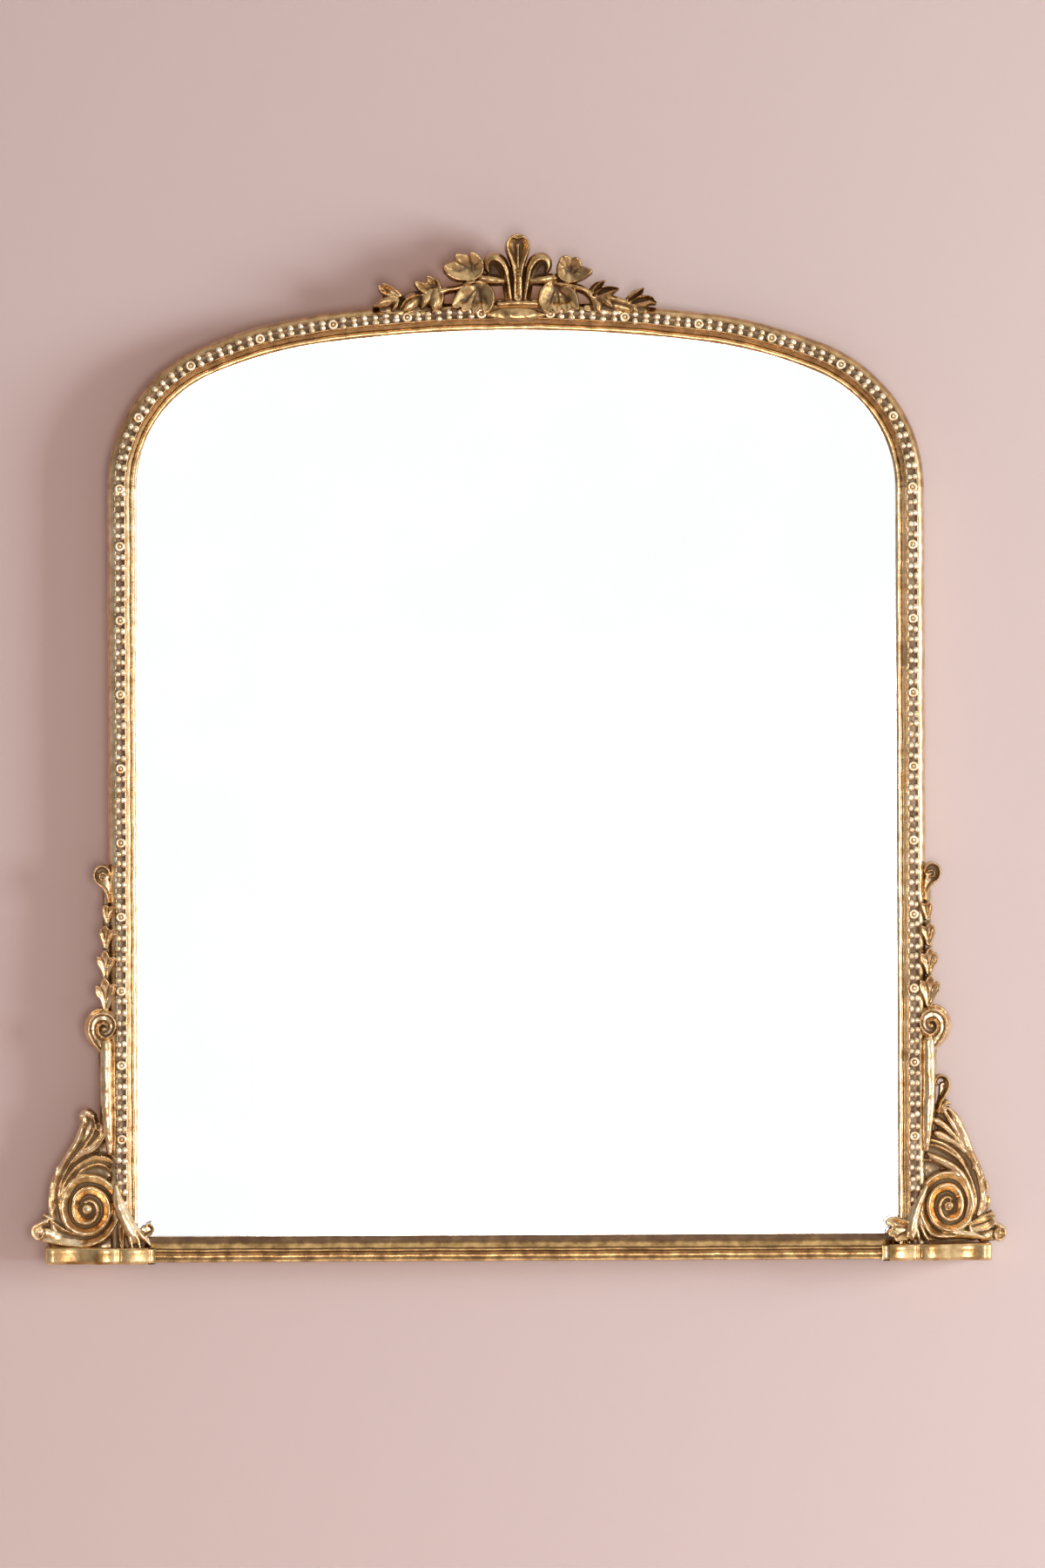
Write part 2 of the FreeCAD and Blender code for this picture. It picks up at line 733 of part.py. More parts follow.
def master_screw():
    """Pan-head wood screw on the Y axis, head at the back."""
    body = doc.addObject("PartDesign::Body", "screw_master")
    profile = new_sketch(body, "screw_profile", "XY_Plane")
    tip = "dims.screw_radius * 1.5"
    corners = [
        ("0", "dims.screw_head_height"),
        ("dims.screw_head_radius * 0.6", "dims.screw_head_height"),
        ("dims.screw_head_radius", "dims.screw_head_height * 0.4"),
        ("dims.screw_head_radius", "0"),
        ("dims.screw_radius", "0"),
        ("dims.screw_radius", f"-(dims.screw_length - {tip})"),
        ("0", "-dims.screw_length"),
    ]
    draw(profile, corners)
    turn = body.newObject("PartDesign::Revolution", "screw_turn")
    turn.Profile = profile
    turn.ReferenceAxis = (profile, ["V_Axis"])
    turn.Angle = 360
    return body


def master_clip():
    """Offset clip: foot on the frame back, riser in the rabbet, tongue on the backing board."""
    body = doc.addObject("PartDesign::Body", "clip_master")
    profile = new_sketch(body, "clip_profile", "YZ_Plane", "-dims.clip_width / 2")
    board = "(dims.rabbet_depth - dims.glass_thickness - dims.backing_thickness)"
    riser = "(dims.rabbet_width - (dims.glass_clearance - dims.clip_thickness) / 2)"
    inner = f"({riser} - dims.clip_thickness)"
    pairs = [
        (f"({riser} + dims.clip_foot)", "0"),
        (f"({riser} + dims.clip_foot)", "-dims.clip_thickness"),
        (inner, "-dims.clip_thickness"),
        (inner, f"({board} - dims.clip_thickness)"),
        (f"({inner} - dims.clip_tongue)", f"({board} - dims.clip_thickness)"),
        (f"({inner} - dims.clip_tongue)", board),
        (riser, board),
        (riser, "0"),
    ]
    draw(profile, [(f"-(dims.wall_gap + {v})", u) for u, v in pairs])
    pad(body, "clip_pad", profile, "dims.clip_width")
    hole = new_sketch(body, "clip_hole", "XZ_Plane", "dims.wall_gap - dims.clip_thickness")
    circle(hole, "0", f"({riser} + dims.clip_foot * 0.55)", "dims.screw_hole_radius")
    pocket(body, "clip_hole_cut", hole, "dims.clip_thickness", turned=True)
    return body


def clip_places():
    """Sight-edge point and outward turn of each clip."""
    places = []
    for sign in (-1, 1):
        for height in ("clip_low", "clip_high"):
            places.append((Vector(sign * size("sight_half_width"), 0, size(height)), sign * 90))
        places.append((Vector(sign * size("clip_rail_out"), 0, size("rail_height")), 180))
        turn = sign * size("clip_crown_angle")
        reach = size("crown_radius")
        angle = math.radians(turn)
        point = Vector(reach * math.sin(angle), 0, num(CROWN_Z) + reach * math.cos(angle))
        places.append((point, turn))
    return [FreeCAD.Placement(point, FreeCAD.Rotation(Vector(0, 1, 0), turn)) for point, turn in places]


def screw_group(label, spots, seat):
    """Screws at (x, z) spots with their heads on a plate of the given thickness."""
    level = -(size("wall_gap") - seat)
    items = [
        (screw.Shape, FreeCAD.Placement(Vector(x, level, z), FreeCAD.Rotation()))
        for x, z in spots
    ]
    return group(label, items)


def carved(label, shape):
    """A carved or glued-on piece made from solid shapes."""
    feature = doc.addObject("Part::Feature", label)
    feature.Shape = shape
    feature.Placement = FreeCAD.Placement(Vector(0, 0, -num(HANG)), FreeCAD.Rotation())
    return keep(feature, label)


def outline_wire(rows, place, sign=1):
    """Closed wire of lines and bowed arcs given as shares."""
    at = rows[0]
    edges = []
    for bow, end in rows[1:]:
        first, last = place(*at), place(*end)
        along = last.sub(first)
        if bow:
            middle = first.add(last).multiply(0.5).add(Vector(-along.z, 0, along.x).multiply(bow * sign))
            edges.append(Part.Arc(first, middle, last).toShape())
        else:
            edges.append(Part.makeLine(first, last))
        at = end
    return Part.Wire(edges)


def mirrored(rows):
    """Whole outline from its right half."""
    starts = [rows[0]] + [end for _, end in rows[1:]]
    back = []
    for index in range(len(rows) - 1, 0, -1):
        back.append((rows[index][0], (-starts[index - 1][0], starts[index - 1][1])))
    return rows + back


def slab(wire, low, high):
    """Outline extruded forward between two levels above the frame back."""
    face = Part.Face(wire)
    face.translate(FRONT * (size("wall_gap") + low))
    return face.extrude(FRONT * (high - low))


def side_place(sign, width, height, base):
    """Places shares of a side piece outward from the stile and up from a height."""
    outer = num(OUTER)

    def place(out, up):
        return Vector(sign * (outer + out * width), 0, base + up * height)

    return place


def stile_room(sign, level):
    """Space of the stile that an overlapping side piece leaves free."""
    low = Vector(sign * (num(OUTER) + size("glue_line")), -size("wall_gap") - level, 0)
    reach = size("face_width") + size("overrun")
    box = Part.makeBox(reach, level + size("wall_gap"), size("spring_height"))
    start = low.x - box.BoundBox.XLength if sign > 0 else low.x
    box.translate(Vector(start, low.y, 0))
    return box


def spiral(centre, start_radius, end_radius, quarters, start_turn, sign):
    """Quarter arcs of shrinking radius that wind inward, as a wire in the front plane."""
    step = (start_radius - end_radius) / quarters
    edges = []
    turn = math.radians(start_turn)
    radius = start_radius
    at = Vector(*centre)

    def point(middle, reach, angle):
        across = sign * reach * math.cos(angle)
        return Vector(middle.x + across, middle.y, middle.z + reach * math.sin(angle))

    for _ in range(quarters):
        first = point(at, radius, turn)
        middle = point(at, radius, turn - math.pi / 4)
        last = point(at, radius, turn - math.pi / 2)
        edges.append(Part.Arc(first, middle, last).toShape())
        turn -= math.pi / 2
        at = point(at, step, turn)
        radius -= step
    return Part.Wire(edges)


def tapered_rib(path, first_radius, last_radius):
    """Round rib along a wire, thinning from its first end to its last."""
    ends = []
    for edge, parameter, radius in (
        (path.Edges[0], path.Edges[0].FirstParameter, first_radius),
        (path.Edges[-1], path.Edges[-1].LastParameter, last_radius),
    ):
        where = edge.valueAt(parameter)
        along = edge.tangentAt(parameter)
        ends.append(Part.Wire([Part.makeCircle(radius, where, along)]))
    shell = Part.BRepOffsetAPI.MakePipeShell(path)
    shell.setFrenetMode(True)
    for section in ends:
        shell.add(section)
    shell.build()
    shell.makeSolid()
    return shell.shape()


def eye(centre, radius, height):
    """Round boss in the eye of a volute."""
    return Part.makeCylinder(radius, height, centre, FRONT)


def wing_board(side, sign):
    """Flat ground beside the stile that carries the side ornament."""
    width, height = size("scroll_width"), size("scroll_height")
    base = size("foot_height")
    place = side_place(sign, 1.0, 1.0, base)
    gap = size("glue_line")
    narrow, top = size("wing_width"), size("wing_height")
    rows = [(gap, 0.0), (0, (0.70 * width, 0.0)), (0, (0.70 * width, 0.20 * height))]
    for bow, end in wing_board_shares:
        rows.append((bow, (end[0] * width, end[1] * height)))
    rows.append((0.08, (narrow, 0.94 * height)))
    rows.append((0, (narrow, top - narrow)))
    rows.append((-0.2, (gap, top)))
    rows.append((0, (gap, 0.0)))
    return carved(f"{side}_wing_board", slab(outline_wire(rows, place, sign), 0.0, size("wing_thickness")))


def corner_scroll(side, sign):
    """Outer leaf with its end curl, the spiral rib of the volute, and the crook on the right-hand one."""
    base = size("foot_height")
    low = size("wing_thickness")
    high = low + size("scroll_relief")
    place = side_place(sign, size("scroll_width"), size("scroll_height"), base)
    leaf = slab(outline_wire(corner_scroll_shares, place, sign), low, high)
    centre = Vector(
        sign * (num(OUTER) + size("volute_out")),
        -size("wall_gap") - high,
        base + size("volute_up"),
    )
    path = spiral(centre, size("volute_radius"), size("volute_eye_radius"), 9, 270, sign)
    rib = tapered_rib(path, size("volute_rib_radius"), size("volute_rib_end_radius"))
    boss_at = path.Edges[-1].Curve.Center
    boss = eye(Vector(boss_at.x, -size("wall_gap") - low, boss_at.z), size("volute_eye_radius"),
               size("scroll_relief") + size("volute_rib_end_radius"))
    extras = [rib, boss]
    if side == "right":
        extras.append(slab(outline_wire(scroll_crook_shares, place, sign), low, high))
    shape = leaf.fuse(extras).cut(stile_room(sign, size("moulding_depth") + size("glue_line")))
    below = Part.makeBox(size("foot_overhang") * 4, size("foot_depth") * 2, size("foot_height"))
    below.translate(Vector(centre.x - size("foot_overhang") * 2, -size("foot_depth") * 2, 0))
    return carved(f"{side}_corner_scroll", shape.cut(below).removeSplitter())


def corner_leaf(side, sign):
    """Clawed leaf over the foot of the stile."""
    place = side_place(sign, -size("leaf_width"), size("leaf_height"), size("foot_height"))
    low = size("moulding_depth")
    wire = outline_wire(corner_leaf_shares, place, -sign)
    leaf = slab(wire, low, low + size("leaf_relief"))
    radius = size("volute_radius") + size("volute_rib_radius") + size("leaf_gap")
    x = sign * (num(OUTER) + size("volute_out"))
    centre = Vector(x, -size("wall_gap"), size("foot_height") + size("volute_up"))
    room = Part.makeCylinder(radius, size("foot_depth") + size("overrun"), centre, FRONT)
    return carved(f"{side}_corner_leaf", leaf.cut(room))


def hook_bottom():
    """Height of the hook scroll's foot, measured down from the wing board's top."""
    return size("foot_height") + size("wing_height") - size("hook_drop")


def strip_top():
    """Height of the strip's head, a share of the way from its foot to the wing board's top."""
    bottom = size("strip_bottom")
    return bottom + size("strip_share") * (size("foot_height") + size("wing_height") - bottom)


def pilaster_strip(side, sign):
    """Plain strip between corner scroll and small volute, scribed over the stile edge."""
    low = size("wing_thickness")
    high = low + size("strip_relief")
    place = side_place(sign, 1.0, 1.0, 0.0)
    first, last = size("strip_shift"), size("strip_shift") + size("strip_width")
    bottom, top = size("strip_bottom"), strip_top()
    ends = [(last, bottom), (last, top), (first, top), (first, bottom)]
    rows = [(first, bottom)] + [(0, end) for end in ends]
    strip = slab(outline_wire(rows, place), low, high)
    room = stile_room(sign, size("moulding_depth") + size("glue_line"))
    return carved(f"{side}_pilaster_strip", strip.cut(room))


def small_volute(side, sign):
    """Round scroll above the strip."""
    low = size("wing_thickness")
    high = low + size("small_volute_relief")
    x = sign * (num(OUTER) + size("small_volute_out"))
    centre = Vector(x, -size("wall_gap") - high, strip_top() + size("small_volute_rise"))
    disc_at = Vector(x, -size("wall_gap") - low, centre.z)
    disc = Part.makeCylinder(size("small_volute_radius"), high - low, disc_at, FRONT)
    path = spiral(centre, size("small_volute_radius"), size("small_volute_eye_radius"), 6, 270, sign)
    rib = tapered_rib(path, size("small_rib_radius"), size("small_rib_end_radius"))
    shape = disc.fuse(rib).cut(stile_room(sign, size("moulding_depth") + size("glue_line")))
    return carved(f"{side}_small_volute", shape.removeSplitter())


def husk_drop(side, sign):
    """Four bellflowers that shrink upward, as separate solids."""
    room = stile_room(sign, size("moulding_depth") + size("glue_line"))
    base = strip_top() + size("small_volute_rise") + size("husk_rise")
    count = int(size("husk_count"))
    room_up = hook_bottom() - size("husk_gap") - base - (count - 1) * size("glue_line")
    first_height = room_up / sum(size("husk_step") ** i for i in range(count))
    scale = 1.0
    husks = []
    for _ in range(count):
        width, height = size("husk_width") * scale, first_height * scale
        out = size("husk_out")

        def place(across, up, base=base, width=width, height=height):
            return Vector(sign * (num(OUTER) + out + across * width), 0, base + up * height)

        wire = outline_wire(mirrored(husk_shares), place, sign)
        low = size("wing_thickness")
        husks.append(slab(wire, low, low + size("husk_relief") * (0.5 + 0.5 * scale)).cut(room))
        base += height + size("glue_line")
        scale *= size("husk_step")
    return carved(f"{side}_husk_drop", Part.Compound(husks))


def hook_scroll(side, sign):
    """Stem that turns over into a hook at the head of the drop."""
    rib = size("hook_rib_radius")
    level = -size("wall_gap") - size("wing_thickness") - rib * 0.6
    x = sign * (num(OUTER) + size("hook_out"))
    bend = size("hook_radius")
    bottom = hook_bottom()
    foot = Vector(x, level, bottom)
    neck = Vector(x, level, bottom + size("hook_height") - bend - rib)
    crown = Vector(x + sign * bend, level, neck.z + bend)
    tip = Vector(x + sign * bend * 1.75, level, neck.z - bend * 0.66)
    side_point = Vector(x + sign * 2 * bend, level, neck.z)
    path = Part.Wire([Part.makeLine(foot, neck), Part.Arc(neck, crown, side_point).toShape()])
    stem = tapered_rib(path, rib, rib * 0.8)
    ball = Part.makeSphere(rib * 1.25, tip.add(side_point).multiply(0.5))
    back = Part.makeBox(size("wing_width") * 4, size("wing_thickness"), size("hook_height") * 2)
    corner_y = -size("wall_gap") - size("wing_thickness")
    back.translate(Vector(x - size("wing_width") * 2, corner_y, bottom - size("overrun")))
    return carved(f"{side}_hook_scroll", stem.fuse(ball).cut(back).removeSplitter())


def crest_top():
    """Height of the arch's outer edge at the crown."""
    return num(CROWN_Z) + size("crown_radius") + size("face_width")


def arch_room():
    """Space of the arch and its beads that the crest leaves free."""
    radius = size("crown_radius") + size("face_width") + size("glue_line")
    start = Vector(0, -size("wall_gap") + size("overrun"), num(CROWN_Z))
    return Part.makeCylinder(radius, size("crest_level") + size("overrun"), start, FRONT)


def crest_piece(label, rows, sign, inset, width, height):
    """Crest carving: outline from behind to the front, scribed over the arch."""
    top = crest_top()

    def place(across, up):
        return Vector(sign * (inset + across * width), 0, top + up * height)

    wire = outline_wire(rows, place, sign)
    shape = slab(wire, size("crest_back"), size("crest_front"))
    return carved(label, shape.cut(arch_room()))


def crest_tablet():
    """Lens between the two bead strings on the crown."""
    half, depth = size("tablet_half_width"), size("tablet_height")
    top = crest_top() - size("tablet_top_drop")
    ends = (Vector(-half, 0, top), Vector(half, 0, top))
    upper = Part.Arc(ends[0], Vector(0, 0, top + depth * 0.08), ends[1]).toShape()
    lower = Part.Arc(ends[1], Vector(0, 0, top - depth), ends[0]).toShape()
    low = size("moulding_depth")
    return carved("crest_tablet", slab(Part.Wire([upper, lower]), low, low + size("tablet_thickness")))


def dowels():
    """Dowels across the stile ends."""
    radius = "dims.dowel_radius"
    items = []
    for name, sign in (("left", -1), ("right", 1)):
        for joint, height, half in (
            ("spring", "dims.spring_height", "dims.dowel_half_length"),
            ("foot", "dims.foot_height", "dims.foot_dowel_half_length"),
        ):
            pin_body = doc.addObject("Part::Cylinder", f"dowel_{joint}_{name}")
            pin_body.setExpression("Radius", radius)
            pin_body.setExpression("Height", f"2 * {half}")
            pin_body.setExpression("Placement.Base.x", signed(f"dims.sight_half_width + {BACK_U}", sign))
            pin_body.setExpression("Placement.Base.y", "-(dims.wall_gap + dims.dowel_depth)")
            pin_body.setExpression("Placement.Base.z", f"{height} - {half}")
            items.append(pin_body)
    doc.recompute()
    return group("joint_dowels", [(pin_body.Shape, None) for pin_body in items])


def bumpers():
    """Four soft pads that hold the frame off the wall."""
    turn = math.radians(size("bumper_angle"))
    reach = size("shoulder_radius") + num(BACK_U)
    centre_x = size("sight_half_width") - size("shoulder_radius")
    spots = []
    for sign in (-1, 1):
        spots.append((sign * (num(OUTER) + size("bumper_out")), size("bumper_up")))
        high = size("spring_height") + reach * math.cos(turn)
        spots.append((sign * (centre_x + reach * math.sin(turn)), high))
    pads = [
        Part.makeCone(size("bumper_radius"), size("bumper_tip_radius"), size("wall_gap"),
                      Vector(x, -size("wall_gap"), z), Vector(0, 1, 0))
        for x, z in spots
    ]
    return carved("wall_bumpers", Part.Compound(pads))


SIDES = (("left", -1), ("right", 1))

# Frame, glass and backing
moulding_arch()
moulding_rail()
for side, sign in SIDES:
    moulding_stile(side, sign)
    corner_block(side, sign)
    bead_stile(side, sign)
    bead_arch(side, sign)
BOARD_BACK = "(dims.rabbet_depth - dims.glass_thickness - dims.backing_thickness)"
pane("mirror_glass", "dims.rabbet_depth - dims.glass_thickness", "dims.glass_thickness")
pane("backing_board", BOARD_BACK, "dims.backing_thickness")
doc.recompute()

# Side ornament
for side, sign in SIDES:
    wing_board(side, sign)
    corner_scroll(side, sign)
    corner_leaf(side, sign)
    pilaster_strip(side, sign)
    small_volute(side, sign)
    husk_drop(side, sign)
    hook_scroll(side, sign)

# Crest
crest_piece("crest_plume", mirrored(plume_shares), 1, 0.0, size("plume_half_width"), size("plume_height"))
for side, sign in SIDES:
    crest_piece(f"crest_leaf_{side}", crest_leaf_shares, sign, size("crest_leaf_inset"),
                size("crest_leaf_width"), size("crest_leaf_height"))
    crest_piece(f"crest_spray_{side}", crest_spray_shares, sign, size("crest_spray_inset"),
                size("crest_spray_width"), size("crest_spray_height"))
crest_tablet()

# Joinery and fittings at the back
dowels()
bumpers()
for side, sign in SIDES:
    hanger_strap(side, sign)
    hanger_ring(side, sign)
screw = master_screw()
clip = master_clip()
doc.recompute()
places = clip_places()
group("backing_clips", [(clip.Shape, place) for place in places])
riser_out = size("rabbet_width") - (size("glass_clearance") - size("clip_thickness")) / 2
clip_spot = Vector(0, 0, riser_out + size("clip_foot") * 0.55)
spots = [place.multVec(clip_spot) for place in places]
screw_group("clip_screws", [(spot.x, spot.z) for spot in spots], size("clip_thickness"))

PLATE_LOW = f"({BACK_U} - dims.plate_width / 2)"
plate_corners, plate_holes, brace_corners, brace_holes = [], [], [], []
for side, sign in SIDES:
    near = signed(f"dims.sight_half_width + {PLATE_LOW}", sign)
    far = signed(f"dims.sight_half_width + {PLATE_LOW} + dims.plate_width", sign)
    middle = signed(f"dims.sight_half_width + {BACK_U}", sign)
    high = "dims.spring_height + dims.plate_half_length"
    low = "dims.spring_height - dims.plate_half_length"
    plate_corners.append([(near, low), (far, low), (far, high), (near, high)])
    plate_holes.append([
        (middle, f"dims.spring_height + {way} * {hole}")
        for way in ("1", "-1")
        for hole in ("dims.plate_hole_near", "dims.plate_hole_far")
    ])
    end = signed("dims.sight_half_width - dims.brace_in", sign)
    upper = "dims.brace_low + dims.plate_width"
    brace_corners.append([
        (end, "dims.brace_low"), (far, "dims.brace_low"), (far, "dims.brace_up"),
        (near, "dims.brace_up"), (near, upper), (end, upper),
    ])
    level = "dims.brace_low + dims.plate_width / 2"
    brace_holes.append(
        [(middle, f"dims.brace_up - {hole}") for hole in ("dims.brace_hole_far", "dims.brace_hole_near")]
        + [(signed(f"dims.sight_half_width - dims.brace_in + {hole}", sign), level)
           for hole in ("dims.brace_hole_far", "dims.brace_hole_near")]
    )
flat_plate("joint_plates", plate_corners, plate_holes)
flat_plate("corner_braces", brace_corners, brace_holes)
plate_spots = [(num(x), num(z)) for holes in plate_holes for x, z in holes]
brace_spots = [(num(x), num(z)) for holes in brace_holes for x, z in holes]
strap_spots = [
    (sign * num(f"dims.sight_half_width + {BACK_U}"), num(f"{BAR_Z} - {drop}"))
    for side, sign in SIDES
    for drop in STRAP_DROPS
]
screw_group("plate_screws", plate_spots, size("plate_thickness"))
screw_group("brace_screws", brace_spots, size("plate_thickness"))
screw_group("hanger_screws", strap_spots, size("strap_thickness"))
doc.recompute()

# Checks and export
for thing in doc.Objects:
    if "Invalid" in thing.State or "Error" in thing.State:
        raise RuntimeError(f"{thing.Label} did not recompute")
os.makedirs("parts", exist_ok=True)
for thing in nodes:
    shape = thing.Shape
    if shape.isNull() or not shape.isValid() or not shape.Solids:
        raise RuntimeError(f"{thing.Label} has no valid solid")
    shape.exportStep(f"parts/{thing.Label}.step")
    box = shape.BoundBox
    print(thing.Label, len(shape.Solids), round(shape.Volume), [round(v, 1) for v in (
        box.XMin, box.XMax, box.YMin, box.YMax, box.ZMin, box.ZMax)])
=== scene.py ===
"""Looks of the arched gilt wall mirror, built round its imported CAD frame.

Row frame: x to the right, y into the wall, z up, metres. Ornament tables are in millimetres:
side pieces measure outward from the stile's outer edge and up from the base line, the crest measures
from the mirror's axis, and carving heights measure forward from the ground that carries them.
"""

import logging
import math
from dataclasses import dataclass, field
from enum import Enum
from typing import Any, Optional, Sequence

import bpy
import numpy as np
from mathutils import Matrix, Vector

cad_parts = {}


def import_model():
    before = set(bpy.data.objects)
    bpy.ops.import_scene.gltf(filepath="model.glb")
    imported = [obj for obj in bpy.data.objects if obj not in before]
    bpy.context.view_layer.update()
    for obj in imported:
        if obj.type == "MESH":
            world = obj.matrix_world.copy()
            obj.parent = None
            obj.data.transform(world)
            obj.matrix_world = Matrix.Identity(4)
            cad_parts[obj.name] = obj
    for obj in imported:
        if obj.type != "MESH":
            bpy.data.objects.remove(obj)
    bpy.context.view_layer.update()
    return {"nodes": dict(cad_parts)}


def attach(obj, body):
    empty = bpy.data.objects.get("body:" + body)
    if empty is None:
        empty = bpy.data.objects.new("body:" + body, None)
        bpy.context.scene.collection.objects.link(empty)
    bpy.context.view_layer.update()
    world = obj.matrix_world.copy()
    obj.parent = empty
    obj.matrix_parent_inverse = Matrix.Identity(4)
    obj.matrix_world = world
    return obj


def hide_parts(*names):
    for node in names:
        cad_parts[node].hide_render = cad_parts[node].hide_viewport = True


LOG = logging.getLogger("arched_mirror")
MM = 0.001
BASE = 640.0
WALL_GAP = 6.0
STILE_EDGE = 362.5
BODY = "frame"


class Section(Enum):
    """Cross sections that a carving stroke may have on either side of its ridge."""

    ROUND = "round"
    HOLLOW = "hollow"
    FLAT = "flat"
    DISH = "dish"


class Side(Enum):
    """Left and right of the mirror, with the sign of x."""

    LEFT = -1
    RIGHT = 1


@dataclass(frozen=True)
class Stroke:
    """One carved ridge: rows of (out, up, width left, width right, height)."""

    rows: tuple
    left: Section = Section.ROUND
    right: Section = Section.ROUND
    foot: float = 0.0


@dataclass(frozen=True)
class Leaf:
    """One dished leaf of merged lobes: each lobe has rows of (out, up, half width, height)."""

    lobes: tuple
    rim: float
    depth: float
    run: float
    foot: float
    soft: float
    groove: float = 0.0


R, H, F, D = Section.ROUND, Section.HOLLOW, Section.FLAT, Section.DISH

